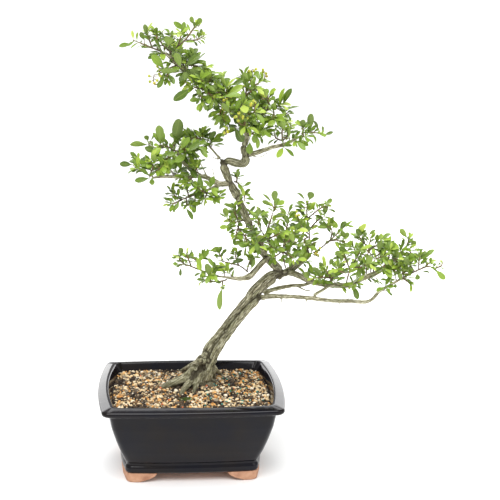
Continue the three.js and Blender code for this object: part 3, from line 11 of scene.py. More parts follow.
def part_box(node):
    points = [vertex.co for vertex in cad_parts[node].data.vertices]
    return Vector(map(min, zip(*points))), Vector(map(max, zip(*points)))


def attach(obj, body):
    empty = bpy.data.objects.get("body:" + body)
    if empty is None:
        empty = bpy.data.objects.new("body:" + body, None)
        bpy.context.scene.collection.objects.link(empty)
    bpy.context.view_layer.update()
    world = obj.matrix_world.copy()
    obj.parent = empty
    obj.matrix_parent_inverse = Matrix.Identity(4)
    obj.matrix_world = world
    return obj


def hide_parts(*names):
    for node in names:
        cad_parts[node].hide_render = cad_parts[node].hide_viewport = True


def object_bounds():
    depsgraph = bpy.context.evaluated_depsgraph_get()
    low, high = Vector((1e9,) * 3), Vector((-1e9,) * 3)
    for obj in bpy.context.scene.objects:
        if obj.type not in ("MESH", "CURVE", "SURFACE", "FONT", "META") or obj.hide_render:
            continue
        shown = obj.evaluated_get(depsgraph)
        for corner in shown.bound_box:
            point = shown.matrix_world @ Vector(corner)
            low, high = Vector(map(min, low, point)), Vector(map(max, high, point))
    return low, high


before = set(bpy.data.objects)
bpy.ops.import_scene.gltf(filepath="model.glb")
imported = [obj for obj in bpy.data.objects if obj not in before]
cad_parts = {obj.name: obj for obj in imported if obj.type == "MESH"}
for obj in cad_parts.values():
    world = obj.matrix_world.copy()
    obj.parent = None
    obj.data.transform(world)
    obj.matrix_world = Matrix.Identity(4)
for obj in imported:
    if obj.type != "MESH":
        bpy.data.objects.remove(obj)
cad_low, cad_high = [list(corner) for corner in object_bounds()]

MM = 0.001
pot_low, pot_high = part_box("pot")
POT_MIDDLE = np.array([(pot_low[0] + pot_high[0]) / 2, (pot_low[1] + pot_high[1]) / 2, pot_low[2]])

# Pot sizes, as in the part's source
RIM_WIDTH = 254
RIM_DEPTH = 205
POT_HEIGHT = 114
SHORT_SIDE_BOW = 7.4
LONG_SIDE_BOW = 3.2
CORNER_RADIUS = 10
FOOT_HEIGHT = 13
FOOT_INSET = 31
FLOOR_TOP = 20
FOOT_WALL = 16
DRAIN_RADIUS = 11
DRAIN_SPACING = 90
FRONT_GAP_FLOOR = 68
FRONT_GAP_TOP = 47
SIDE_GAP_FLOOR = 40
SIDE_GAP_TOP = 20
GRIT_EDGE = 103.5
GRIT_MOUND = 6
GRIT_MOUND_REACH = (62, 46)
TRUNK_FOOT = (10, 13)

# Leaves and berries, as in the part's source
LEAF_ASPECT = 0.46
GROWN_LEAF = 1.2
LEAF_DROOP = 0.1
LEAF_SHARE = 0.22
BERRY_RADIUS = 1.9
TWIG_RADIUS = 1.05
STEM_GAP = 1
FORK_GAP = 2.4
LEAF_SPIRAL = 2.4

# Where the viewer of the front picture stands, in mm from the middle of the pot's foot
VIEWER = np.array([-65.3, -1435.2, 663.3])
VIEW_YAW = -0.0993
VIEW_PITCH = 0.2451
VIEW_ROLL = 0.0219
VIEW_FOCUS = 1107.9
PICTURE_MIDDLE = 250
PICTURE_WIDTH = 500
SENSOR_WIDTH = 36

forward = np.array([
    -math.sin(VIEW_YAW) * math.cos(VIEW_PITCH),
    math.cos(VIEW_YAW) * math.cos(VIEW_PITCH),
    -math.sin(VIEW_PITCH),
])
level_right = np.array([math.cos(VIEW_YAW), math.sin(VIEW_YAW), 0.0])
level_up = np.cross(level_right, forward)
view_right = level_right * math.cos(VIEW_ROLL) + level_up * math.sin(VIEW_ROLL)
view_up = level_up * math.cos(VIEW_ROLL) - level_right * math.sin(VIEW_ROLL)


def ray_through(across, down):
    """Direction from the viewer through a picture point."""
    return (
        forward
        + view_right * ((across - PICTURE_MIDDLE) / VIEW_FOCUS)
        - view_up * ((down - PICTURE_MIDDLE) / VIEW_FOCUS)
    )


def spot(point):
    """A place given by its picture point (across, down) and its depth behind the pot's middle."""
    across, down, depth = point[:3]
    ray = ray_through(across, down)
    return VIEWER + ray * ((depth - VIEWER[1]) / ray[1])


def in_metres(places):
    """Places in mm from the middle of the pot's foot, as metres in the part's frame."""
    return np.asarray(places, dtype=float) * MM + POT_MIDDLE


# The tree is set out by picture points, as in the part's source.
# A limb's row is its picture point, its depth behind the pot's middle and its radius in mm.
# A root's row is its compass direction, its reach and its radius.
# A spray is its limb, its stems (leaves, their size in mm, points with depth) and its stand-out
# leaves (foot and tip in the picture, depth, width seen in mm).
# A bunch of berries is its picture point, depth, number of berries and spread.
LIMBS = {
    "trunk": [
        [198, 388, 14, 11], [201, 376, 14, 11.5], [204.5, 363, 12, 10.5], [210.5, 349, 10, 8.8],
        [220.5, 335, 9, 7.4], [230, 322, 8, 7], [239, 311, 7, 7.2], [248, 301, 6, 8.2],
        [256, 291, 5, 9], [266, 281, 3, 9], [276, 274, 2, 7.5], [284, 272, 2, 6],
    ],
    "strand": [
        [206, 379, 7, 7.5], [211, 364, 3, 6.8], [217, 350, 1, 6], [227, 336, -1, 5.2], [236.5, 323, -2, 5],
        [245.5, 312, -3, 5], [252, 305, -3, 5], [259, 299, -3, 4.4], [267, 296.5, -4, 3.6],
    ],
    "lower_right": [
        [259, 299, -3, 4], [267, 296.5, -4, 3.6], [290, 296.5, -8, 3.2], [310, 298, -12, 3],
        [330, 300.5, -16, 2.8], [350, 301, -20, 2.7], [364, 302, -23, 2.7], [371, 300, -24, 2.4],
        [380, 291, -26, 2], [390, 285, -28, 1.8], [398, 280.5, -28, 1.7], [408, 275, -28, 1.5],
    ],
    "middle_right": [
        [276, 275, 2, 6.5], [284, 273, 3, 5.5], [292, 273, 5, 5], [300, 276, 7, 4.6],
        [310, 281, 9, 4.3], [322, 284, 11, 4.2], [336, 285.5, 13, 4], [349, 285, 14, 4],
        [358, 281, 15, 3.8], [367, 276.5, 15, 3.8], [376, 273, 14, 3.6], [386, 266, 13, 3.4],
        [394, 259, 12, 3.2], [400, 253.5, 11, 3.1], [404, 251.5, 11, 3],
    ],
    "stub": [
        [278, 276, 4, 6], [290, 270, 12, 5], [300, 262, 18, 4.6], [306, 257, 21, 4.6], [311, 254.5, 22, 3],
    ],
    "inner": [[264, 293, 14, 4], [275, 289, 22, 3.2], [290, 286, 28, 2.8], [304, 285, 32, 2.4]],
    "link": [[314, 295, -13, 2.2], [321, 291, -7, 2.2], [329, 286, 5, 2.2], [334, 285, 11, 2.2]],
    "upper": [
        [283, 274, 3, 6], [275, 266, 2, 6.2], [266, 256, 1, 5.8], [258, 245, 0, 5.2], [254, 234, 0, 4.8],
        [248, 221, -1, 4.8], [242, 208, -2, 5.1], [237, 196, -3, 5.3], [230, 183, -4, 5.6],
        [226, 173, -4, 5.5], [223, 164, -4, 5.6], [222, 161, -4, 5.2],
    ],
    "jog": [
        [221, 162, -4, 5], [230, 161.5, -5, 5.2], [238, 163.5, -6, 5.2], [244.5, 162.5, -6, 5.6],
        [246, 156, -6, 5.4], [244, 149, -6, 4.8], [245, 143, -7, 3.8],
    ],
    "apex": [
        [245, 144, -7, 3.8], [247, 136, -7, 3.4], [244, 126, -8, 3.2], [237, 117, -9, 3],
        [227, 108, -10, 3], [215, 98, -11, 2.9], [204, 88, -11, 2.9], [194, 78, -12, 3],
        [184, 70, -12, 3.4], [176, 63, -13, 3.4], [170, 57, -14, 2.8], [165, 53, -14, 2],
    ],
    "crown": [[244, 127, -8, 2.6], [252, 118, -4, 2.3], [262, 112, 0, 2], [270, 109, 2, 1.6]],
    "right_arm": [
        [246, 155, -6, 3.4], [255, 153, -7, 2.8], [264, 150, -8, 2.7], [273, 147, -9, 2.6],
        [282, 145, -10, 2.4], [290, 142, -10, 2.1], [296, 138.5, -10, 1.8], [301, 136, -10, 1.5],
    ],
    "left_arm": [
        [230, 183, -5, 3.8], [221, 184, -8, 3.6], [215, 181.5, -10, 3.2], [208, 178, -12, 2.9],
        [201, 176, -13, 2.8], [192, 176.5, -14, 2.6], [180, 177, -16, 2.4], [168, 176.5, -18, 2.3],
        [158, 177, -19, 2], [152, 178, -20, 1.7],
    ],
    "left_rise": [
        [197, 176, -14, 2.6], [191, 170, -14, 2.7], [185, 164, -13, 2.6], [180, 158, -12, 2.4],
        [177, 152, -12, 2],
    ],
    "left_under": [[219, 185, -9, 2.4], [212, 188, -14, 2.1], [205, 191, -18, 1.8], [198, 194, -20, 1.5]],
    "left_knot": [[222, 161, -4, 2.2], [216, 154, -2, 1.5], [210, 147, 0, 1.4], [205, 142, 2, 1.3]],
    "left_low": [
        [270, 256, 0, 4.6], [262, 263, -8, 4], [255, 271, -15, 3.8],
        [249, 276.5, -20, 4.2], [241, 278.5, -23, 3],
        [232, 278, -26, 2.3], [224, 277, -28, 1.7], [216, 276, -29, 1.5],
        [208, 272.5, -30, 1.4], [200, 270, -31, 1.3],
    ],
}

ROOTS = [
  [15, 30, 4.4], [75, 26, 4.2], [140, 36, 4.4], [174, 54, 5.6],
  [200, 58, 6], [224, 48, 5], [266, 32, 4.6], [320, 28, 4.2],
]

SPRAYS = {
    "apex_left": ["apex", [
        [2, 11, [165, 53, -14], [150, 47, -17], [133, 40, -22]],
        [3, 11, [152, 48, -18], [149, 39, -15], [147, 32, -13]],
        [3, 9, [158, 49, -17], [157, 40, -9], [156, 32, -4]],
    ], [
        [132, 44, 119, 45, -22, 6], [146, 36, 145.5, 24, -14, 7], [145, 41, 140, 32, -16, 6.5],
        [153, 35, 156, 27, -8, 3.5], [150, 48, 141, 46, -10, 3.5],
    ]],
    "apex_top": ["apex", [
        [4, 13, [172, 59, -14], [169, 46, -16], [171, 35, -20]],
        [3, 12, [171, 52, -14], [162, 44, -4], [160, 36, 4]],
        [3, 10, [174, 56, -14], [185, 40, -10], [194, 28, -6], [198, 25, -5]],
        [3, 9, [185, 40, -9], [196, 40, 2], [204, 36, 6]],
        [3, 12, [180, 48, -12], [180, 40, -26], [181, 33, -34]],
    ], [
        [186, 31, 174, 22, -16, 7], [194, 25, 190, 16.5, -6, 6], [199, 27, 200, 17.5, -4, 7.5],
        [168, 47, 169, 36, -26, 12], [165, 39, 160, 31, -2, 2.5], [196, 37, 199, 32, 4, 4],
    ]],
    "apex_right": ["apex", [
        [2, 16, [183, 69, -12], [190, 62, -20], [194, 56, -26]],
        [3, 15, [189, 66, -18], [197, 66, -14], [204, 68, -10]],
    ], [
        [182, 61, 198, 49, -21, 9], [185, 67, 199, 54, -29, 10], [187, 67, 205, 59, -18, 6.5],
        [207, 70, 202.5, 60, -8, 6], [181, 69, 176, 52, -30, 9.5], [192, 68, 203, 69, -24, 5],
    ]],
    "apex_low": ["apex", [
        [2, 14, [178, 65, -14], [170, 68, -24], [164, 72, -30]],
        [2, 12, [170, 68, -24], [168, 74, -28], [166, 79, -30]],
    ], [
        [165, 69, 152, 55, -30, 11], [179, 72, 161, 69.5, -36, 7], [165, 76, 158, 88, -32, 7],
        [170, 73, 164, 85, -26, 4.5],
    ]],
    "apex_rear": ["apex", [
        [6, 15, [181, 68, -12], [178, 60, 12], [177, 50, 30]],
        [5, 15, [180, 62, 8], [190, 60, 24], [194, 64, 36]],
    ], []],
    "neck_left": ["apex", [
        [3, 14, [205, 89, -11], [197, 88, -20], [192, 86, -24]],
        [4, 12, [198, 88, -20], [200, 95, -26], [204, 102, -28]],
        [4, 15, [201, 88, -18], [205, 84, -32], [200, 79, -40]],
        [4, 13, [203, 90, -18], [210, 94, -34], [214, 99, -38]],
    ], [
        [193, 87, 174, 101, -26, 11], [201, 99, 190, 100, -28, 7], [212, 100, 210, 109, -30, 6],
        [184, 82, 186, 72, -28, 9], [202, 96, 197, 89, -34, 6.5], [203, 97, 210, 103, -24, 8],
    ]],
    "neck_right": ["apex", [
        [5, 16, [212, 95, -11], [208, 84, -14], [212, 77, -16]],
        [5, 15, [209, 88, -13], [217, 84, 0], [223, 81, 8]],
    ], [
        [206, 74, 221, 72, -12, 3.5], [208, 83, 190, 68, -20, 7], [210, 78, 218, 80, -24, 5],
    ]],
    "neck_rear": ["apex", [
        [6, 15, [207, 91, -11], [203, 86, 14], [200, 82, 34]],
        [3, 14, [205, 89, 2], [214, 88, 22], [218, 90, 32]],
    ], []],
    "crown_top": ["apex", [
        [2, 12, [238, 118, -9], [242, 104, -10], [247, 90, -8], [252, 78, -6]],
        [3, 12, [248, 88, -8], [257, 84, 0], [263, 80, 4]],
        [4, 13, [244, 96, -10], [250, 92, -18], [256, 88, -22]],
        [5, 13, [246, 92, -8], [246, 84, 10], [243, 76, 16]],
    ], [
        [249, 80, 242, 73, -12, 9], [248, 88, 256, 87, -20, 5], [252, 76, 259, 72, 0, 6],
    ]],
    "crown_left": ["apex", [
        [4, 16, [228, 109, -10], [227, 98, -16], [226, 88, -20]],
        [3, 14, [227, 101, -14], [220, 94, -20], [214, 87, -24]],
        [4, 14, [228, 105, -11], [221, 110, -22], [219, 119, -26]],
        [3, 13, [223, 108, -18], [217, 106, -14], [212, 104, -8]],
        [2, 12, [220, 115, -24], [225, 121, -30], [228, 128, -32]],
    ], [
        [226, 95, 243, 86, -24, 9.5], [227, 88, 221, 77, -18, 6], [230, 86, 243, 80, -14, 7],
        [216, 94, 212, 85, -28, 10], [222, 97, 241, 93, -32, 7], [224, 116, 216, 121, -28, 9],
        [221, 106, 214, 108, -22, 8.5],
    ]],
    "crown_front": ["apex", [
        [5, 15, [240, 121, -9], [240, 114, -28], [243, 104, -46]],
        [4, 14, [240, 115, -26], [249, 114, -40], [255, 112, -50]],
        [4, 14, [240, 116, -22], [232, 113, -36], [229, 109, -48]],
        [4, 14, [240, 114, -30], [243, 122, -44], [246, 126, -52]],
    ], [
        [233, 116, 239, 99, -50, 7], [231, 115, 222, 103, -48, 6.5], [247, 121, 236, 119, -54, 8],
    ]],
    "crown_rear": ["apex", [
        [5, 16, [233, 113, -10], [232, 106, 16], [231, 98, 38]],
        [5, 15, [232, 108, 8], [241, 106, 32], [247, 108, 50]],
        [4, 14, [232, 109, 6], [226, 112, 26], [222, 114, 38]],
    ], []],
    "crown_right": ["crown", [
        [3, 14, [270, 109, 2], [276, 107, -2], [281, 105, -6]],
        [4, 13, [268, 110, 2], [268, 102, -8], [268, 95, -12]],
        [4, 15, [272, 109, 0], [274, 114, -12], [273, 118, -20]],
        [3, 11, [276, 108, 0], [284, 112, 8], [289, 115, 12]],
    ], [
        [279, 106, 283, 88, -10, 5.5], [282, 106, 290, 88, -4, 8], [267, 98, 264, 88.5, -14, 9],
        [283, 111, 299, 105.5, 6, 2.8], [276, 117, 290, 118, -18, 2.8], [266, 126, 275, 121, -24, 7.5],
        [270, 100, 275, 97, -16, 6],
    ]],
    "crown_middle": ["crown", [
        [5, 15, [260, 113, -1], [260, 105, 14], [260, 98, 24]],
        [5, 14, [258, 115, -2], [258, 118, -20], [258, 121, -32]],
        [4, 14, [260, 108, 8], [252, 102, 16], [247, 98, 20]],
    ], [
        [253, 100, 246, 94, -12, 9], [254, 118, 246, 113, -34, 8],
    ]],
    "crown_rear_right": ["crown", [
        [5, 15, [265, 111, 1], [266, 112, 24], [268, 110, 44]],
        [5, 15, [265, 112, 16], [258, 118, 34], [253, 122, 44]],
    ], []],
    "crown_low": ["apex", [
        [4, 14, [247, 137, -7], [253, 133, -20], [259, 130, -30]],
        [2, 14, [250, 135, -14], [243, 130, -28], [238, 128, -36]],
        [3, 13, [252, 134, -18], [260, 136, -16], [264, 130, -12]],
    ], [
        [234, 127, 243, 142, -38, 12], [250, 141, 249, 154, -14, 9.5], [256, 131, 254, 143, -30, 9],
        [262, 138, 265, 129, -22, 9],
    ]],
    "right_arm_near": ["right_arm", [
        [4, 14, [283, 144, -10], [282, 134, -14], [283, 125, -18]],
        [4, 12, [286, 143, -10], [289, 133, 0], [291, 124, 8]],
        [3, 11, [279, 146, -10], [276, 138, -4], [274, 132, 0]],
    ], [
        [285, 131, 281, 120.5, -20, 9.5], [288, 139, 290, 127, -24, 5],
    ]],
    "right_arm_tip": ["right_arm", [
        [3, 11, [301, 136, -10], [303, 131, -8], [303, 126, -6]],
        [3, 11, [302, 134, -9], [311, 132, -4], [321, 134, 0]],
        [2, 9, [302, 135, -10], [303, 139, -14], [304, 142, -16]],
    ], [
        [311, 131, 309.5, 113, -4, 9.5], [319, 132, 314, 120, 2, 3.5], [324, 135, 333, 132, 0, 5],
        [323, 133, 322.5, 126, -2, 3.2], [304, 128, 302, 119.5, -8, 8],
    ]],
    "left_high": ["left_rise", [
        [4, 16, [177, 152, -12], [168, 147, -14], [160, 145, -16]],
        [1, 12, [165, 147, -14], [156, 148, -10], [149, 145, -8]],
        [3, 15, [173, 150, -13], [175, 144, -6], [178, 138, -2]],
        [5, 16, [175, 150, -14], [170, 156, -30], [164, 160, -38]],
        [4, 16, [177, 152, -13], [182, 152, -28], [185, 147, -36]],
        [3, 15, [182, 152, -28], [191, 150, -34], [198, 146, -38]],
    ], [
        [160, 144, 160, 125, -20, 11.5], [173, 145, 181, 119, -10, 16], [149, 145, 130, 143, -10, 7],
        [150.5, 141, 156, 133, -6, 3.5], [148, 142, 146, 135, -4, 7], [184, 140, 188, 130, 2, 6],
        [162, 155, 175, 153, -40, 7], [158, 152, 145, 148, -24, 8], [160, 168, 175, 166, -42, 7.5],
        [172, 163, 185, 156, -40, 9.5], [185, 152, 200, 143, -42, 8.5], [181, 150, 188, 137, -38, 8.5],
        [196, 149, 209, 152, -30, 4.5],
    ]],
    "left_rear": ["left_arm", [
        [2, 14, [205, 177, -12], [194, 170, 14], [186, 162, 34]],
        [5, 15, [188, 164, 30], [178, 158, 44], [170, 152, 54]],
        [5, 14, [188, 164, 30], [192, 154, 44], [193, 148, 52]],
    ], []],
    "left_top": ["left_knot", [
        [5, 13, [205, 142, 2], [203, 138, 0], [202, 134, -2]],
        [5, 15, [204, 140, 1], [196, 138, -10], [189, 139, -16]],
        [4, 12, [205, 141, 2], [209, 146, 12], [207, 149, 18]],
    ], [
        [203, 138, 194, 130, -6, 6], [207, 140, 216, 132, -4, 7.5], [202, 142, 192, 136, 6, 7],
    ]],
    "left_tip": ["left_arm", [
        [4, 13, [152, 178, -20], [145, 172, -18], [136, 168, -16]],
        [5, 15, [151, 176, -20], [153, 167, -28], [150, 159, -34]],
        [5, 11, [147, 173, -18], [142, 165, -4], [138, 160, 4]],
        [3, 15, [151, 174, -20], [158, 170, -36], [163, 165, -44]],
    ], [
        [133, 165, 120, 163, -16, 8], [150, 178, 135, 181, -24, 8], [152, 177, 152, 185, -20, 7.5],
        [150, 176, 141, 169, -30, 6], [155, 165, 154, 154, -40, 8],
    ]],
    "left_middle": ["left_arm", [
        [5, 11, [194, 177, -14], [196, 170, -26], [196, 164, -32]],
        [4, 12, [195, 174, -18], [190, 180, -30], [187, 183, -36]],
    ], [[199, 173, 200.5, 188, -36, 8]]],
    "left_middle_rear": ["left_arm", [
        [5, 12, [174, 177, -17], [172, 172, 4], [169, 168, 20]],
        [4, 12, [173, 174, -4], [180, 176, 14], [184, 179, 24]],
    ], []],
    "left_under": ["left_under", [
        [2, 11, [198, 194, -20], [188, 197, -18], [179, 201, -16]],
        [4, 12, [182, 199, -16], [175, 196, -10], [172, 193, -8]],
        [3, 12, [181, 200, -16], [175, 203, -24], [170, 204, -28]],
        [3, 11, [188, 197, -18], [187, 190, -6], [184, 187, 2]],
        [3, 11, [186, 198, -18], [187, 205, -22], [190, 205, -28]],
        [3, 11, [195, 195, -19], [195, 200, -6], [193, 203, 0]],
    ], [
        [185, 207, 194, 219, -22, 6.5], [190, 191, 179, 186, -4, 4], [190, 206, 200, 203, -12, 5],
        [172, 199, 165, 199, -12, 4.5],
    ]],
    "left_under_near": ["left_under", [
        [4, 11, [208, 190, -16], [206, 196, -26], [204, 199, -30]],
        [4, 11, [207, 192, -20], [214, 194, -20], [219, 197, -20]],
        [4, 11, [207, 193, -22], [200, 190, -34], [197, 187, -40]],
    ], [
        [208, 196, 221, 202, -26, 6], [209, 193, 220, 192, -14, 5], [218, 198, 225, 198, -22, 4],
    ]],
    "trunk_shoot": ["upper", [
        [1, 9, [229, 180, -4], [236, 182, -8], [243, 187, -10]],
        [2, 9, [237, 182, -8], [237, 178, -12], [237, 174, -14]],
        [1, 9, [241, 185, -10], [244, 194, -12], [245, 202, -12]],
    ], [
        [243, 187, 250.5, 181.5, -10, 4.5], [237.5, 179, 238.5, 170, -14, 6], [245, 202, 250, 204, -10, 4],
    ]],
    "central_left": ["upper", [
        [3, 12, [247, 219, -1], [237, 222, -12], [230, 222, -18]],
        [5, 12, [240, 221, -8], [237, 231, -20], [236, 238, -26]],
        [3, 11, [238, 222, -10], [235, 213, -12], [233, 208, -12]],
        [4, 13, [238, 228, -18], [246, 238, -30], [247, 246, -36]],
    ], [
        [228, 219, 224, 207.5, -18, 8.5], [230, 226, 220, 228, -20, 7], [232, 221, 232, 212, -14, 5.5],
        [228, 219, 219, 213, -20, 2.8], [250, 246, 239, 244, -38, 8], [236, 239, 233, 244, -26, 4],
        [238, 210, 224, 203, -12, 5],
    ]],
    "central_left_rear": ["upper", [
        [5, 13, [250, 226, 0], [243, 220, 18], [238, 216, 30]],
        [5, 12, [247, 223, 10], [246, 234, 28], [244, 242, 36]],
        [4, 12, [246, 222, 12], [256, 218, 24], [260, 212, 30]],
    ], [[248, 217, 253, 208, 8, 5]]],
    "central_front": ["upper", [
        [3, 12, [263, 252, 1], [263, 243, -22], [266, 232, -38]],
        [4, 13, [265, 238, -30], [270, 222, -38], [274, 208, -42]],
        [4, 12, [265, 236, -32], [259, 226, -44], [258, 216, -48]],
        [5, 13, [265, 240, -28], [275, 236, -48], [282, 232, -58]],
        [4, 13, [264, 243, -22], [258, 242, -42], [256, 246, -54]],
        [4, 12, [267, 240, -32], [271, 246, -48], [275, 249, -56]],
    ], [
        [275, 204, 274, 190, -44, 9], [273, 207, 262, 200, -40, 6], [276, 206, 284, 200.5, -42, 7],
        [272, 203, 263, 193.5, -36, 3], [258, 217, 259, 208.5, -50, 8], [284, 212, 288, 224, -58, 7],
        [256, 240, 258, 251, -60, 7],
    ]],
    "central_middle": ["stub", [
        [4, 13, [286, 271, 9], [283, 254, -4], [284, 238, -12]],
        [4, 13, [284, 242, -10], [287, 226, -10], [288, 214, -8]],
        [4, 12, [283, 246, -8], [291, 238, -20], [296, 230, -26]],
        [4, 12, [283, 250, -6], [276, 256, -22], [271, 258, -30]],
        [4, 12, [284, 252, -6], [290, 256, -24], [295, 259, -32]],
    ], [
        [288, 213, 292, 204, -6, 4], [294, 243, 290, 233, -30, 8], [284, 244, 276, 233, -34, 8],
        [296, 243, 303, 238, -24, 6],
    ]],
    "central_rear": ["stub", [
        [2, 13, [294, 267, 14], [288, 252, 34], [284, 240, 48]],
        [5, 13, [285, 244, 44], [278, 232, 54], [272, 222, 60]],
        [5, 13, [286, 246, 42], [295, 232, 56], [303, 224, 64]],
        [4, 13, [286, 248, 40], [290, 244, 62], [292, 246, 74]],
        [4, 12, [288, 253, 32], [277, 250, 44], [269, 246, 50]],
    ], []],
    "central_right": ["stub", [
        [1, 12, [306, 257, 21], [309, 243, 12], [310, 228, 4]],
        [5, 13, [310, 230, 5], [307, 216, 0], [307, 205, -4]],
        [4, 12, [308, 218, 1], [318, 210, 2], [326, 205, 2]],
        [5, 13, [309, 234, 8], [302, 228, -10], [299, 220, -16]],
        [2, 12, [310, 228, 4], [317, 221, 8], [325, 216, 10]],
        [4, 13, [309, 236, 8], [304, 240, -10], [306, 246, -18]],
    ], [
        [306, 201, 297, 192, -4, 3], [309, 201, 312, 191.5, -6, 10], [326, 207, 331, 198, 2, 6.5],
        [327, 209, 336, 211.5, 4, 3.5], [326, 216, 338, 228, 10, 9], [303, 208, 294, 205, -6, 3],
        [300, 221, 297, 229, -22, 8], [302, 231, 311, 228, -20, 8],
    ]],
    "stub_twig": ["stub", [
        [2, 11, [311, 255, 22], [321, 248, 20], [330, 240, 16], [340, 232, 12]],
        [3, 13, [331, 239, 16], [332, 231, 10], [328, 226, 6]],
        [3, 12, [336, 235, 14], [341, 229, 22], [346, 226, 28]],
        [3, 11, [329, 241, 16], [337, 240, 6], [342, 242, 0]],
    ], [
        [347, 241, 341, 230, 8, 7], [346, 240, 348, 232, 4, 7], [328, 228, 317, 227, 2, 5],
    ]],
    "right_near": ["middle_right", [
        [4, 13, [333, 285, 13], [329, 275, 0], [324, 267, -8]],
        [4, 12, [331, 280, 6], [337, 271, -6], [341, 263, -12]],
        [3, 12, [330, 277, 4], [320, 277, -8], [315, 278, -14]],
    ], [
        [323, 276, 313, 266, -14, 7], [325, 268, 319, 262, -6, 5], [329, 266, 333, 259, -10, 7],
        [310, 280, 304, 272, -2, 7.5],
    ]],
    "right_front": ["middle_right", [
        [2, 12, [346, 285, 14], [348, 276, -14], [352, 266, -34]],
        [5, 12, [350, 270, -26], [346, 260, -36], [343, 252, -42]],
        [5, 12, [352, 267, -32], [357, 257, -46], [361, 250, -54]],
        [5, 12, [352, 267, -32], [362, 267, -50], [370, 263, -60]],
        [4, 12, [350, 272, -22], [342, 272, -40], [337, 268, -50]],
    ], [
        [344, 262, 336, 250, -44, 7], [350, 256, 340, 247, -40, 8], [366, 266, 372, 256, -64, 9],
        [358, 262, 350, 268, -56, 7],
    ]],
    "right_rise": ["middle_right", [
        [2, 12, [366, 277, 15], [367, 262, 10], [369, 246, 4], [371, 237, 2]],
        [5, 13, [369, 247, 5], [362, 241, 4], [358, 234, 2]],
        [5, 13, [369, 250, 6], [377, 245, 0], [381, 240, -4]],
        [5, 13, [368, 255, 8], [358, 253, 20], [353, 247, 28]],
        [4, 12, [368, 257, 8], [378, 258, -10], [384, 256, -18]],
    ], [
        [368, 236, 375, 229.5, 0, 4.5], [378, 242, 381, 233, -6, 3], [363, 236, 356, 230, -4, 8],
        [353, 240, 347, 246, 24, 7], [378, 252, 381, 241, -12, 9],
    ]],
    "right_rear": ["middle_right", [
        [2, 12, [373, 274, 14], [374, 264, 36], [376, 254, 52]],
        [5, 12, [376, 256, 48], [384, 250, 62], [388, 246, 68]],
        [5, 12, [375, 258, 44], [367, 250, 60], [362, 246, 68]],
        [4, 12, [374, 262, 38], [366, 264, 56], [359, 264, 64]],
    ], []],
    "right_far": ["middle_right", [
        [5, 12, [388, 264, 13], [389, 256, -6], [390, 250, -14]],
        [5, 13, [389, 260, 2], [398, 262, -14], [401, 267, -22]],
        [4, 12, [389, 259, -2], [384, 266, -22], [383, 271, -30]],
    ], [
        [397, 268, 403, 260, -24, 8], [396, 258, 397, 250, -14, 7], [392, 250, 399, 251, -8, 5],
    ]],
    "right_end": ["middle_right", [
        [2, 9, [404, 251.5, 11], [407, 245, 9], [409, 238, 7]],
        [3, 11, [406, 247, 10], [412, 254, 14], [414, 258, 18]],
    ], [
        [408, 239, 400, 228, 6, 8], [413, 249, 414.5, 240, 8, 9], [404, 256, 400, 264, 18, 6],
    ]],
    "lower_tip": ["lower_right", [
        [2, 11, [408, 275, -28], [418, 270, -27], [428, 266.5, -26], [436, 268.5, -26]],
        [4, 13, [419, 270, -27], [419, 262, -22], [420, 256, -20]],
        [4, 12, [415, 271, -27], [410, 266, -34], [408, 261, -38]],
        [2, 6, [436, 268, -26], [441, 266, -25], [443, 262, -24]],
        [3, 8, [424, 268, -26], [428, 264, -32], [431, 262, -34]],
    ], [
        [422, 259, 434, 249.5, -20, 6.5], [435, 269, 445, 280, -26, 8.5], [418, 257, 423, 248.5, -18, 3],
        [421, 271, 430, 272, -30, 2.8], [413, 268, 404, 258, -40, 6], [417, 273, 418, 280, -26, 7],
    ]],
    "lower_middle": ["lower_right", [
        [4, 12, [398, 280.5, -28], [402, 274, -32], [405, 268, -34]],
        [3, 9, [400, 277, -30], [407, 281, -34], [412, 284, -36]],
        [3, 12, [400, 277, -30], [395, 271, -24], [392, 268, -20]],
    ], [
        [402, 281, 399, 273, -38, 7], [395, 283, 395.5, 288, -30, 4.5], [409, 275, 408, 266, -36, 6],
    ]],
    "left_low_tip": ["left_low", [
        [2, 9, [200, 270, -31], [190, 266, -33], [182, 264, -34]],
        [4, 9, [185, 265, -34], [180, 260, -36], [178, 256, -38]],
        [3, 11, [203, 270, -31], [198, 262, -24], [190, 257, -20]],
        [2, 10, [199, 264, -25], [202, 258, -18], [206, 253, -14]],
        [2, 9, [191, 267, -33], [188, 258, -42], [186, 253, -46]],
    ], [
        [180, 256, 181.5, 247, -38, 8], [181, 267, 180, 276, -34, 4.5], [200, 262, 209, 250, -20, 7],
        [196, 258, 183, 255, -28, 5], [179, 264, 173, 264, -36, 5.5],
    ]],
    "left_low_under": ["left_low", [
        [2, 10, [232, 278, -26], [222, 281, -32], [211, 281.5, -34], [201, 279.5, -35]],
        [1, 9, [222, 281, -32], [222.5, 284, -34], [222.5, 286, -35]],
        [2, 10, [211, 281, -34], [209, 276, -38], [208, 273, -40]],
    ], [
        [222.5, 285, 219, 309.5, -35, 8], [208.5, 278, 208, 263, -40, 9.5], [205, 279, 203, 270, -34, 6],
        [211, 277, 216, 271, -34, 4], [206, 280, 197, 279, -36, 4.5], [213, 281, 221, 283, -38, 4],
    ]],
    "left_low_twig": ["left_low", [
        [2, 9, [251, 274, -18], [240, 266, -14], [229, 263, -10], [218, 260, -8]],
        [4, 11, [223, 261, -9], [220, 255, -6], [217, 250, -4]],
        [3, 9, [238, 265.5, -13], [236, 258, -6], [235, 253, -2]],
        [3, 12, [247, 270, -17], [249, 263, -24], [252, 258, -28]],
    ], [
        [230, 264, 243, 258.5, -14, 6.5], [251, 270, 254.5, 259, -30, 7], [209, 251, 219, 248, -4, 6],
        [232, 247, 237, 250.5, -2, 5.5], [235, 268, 231, 277, -20, 3.5],
    ]],
}

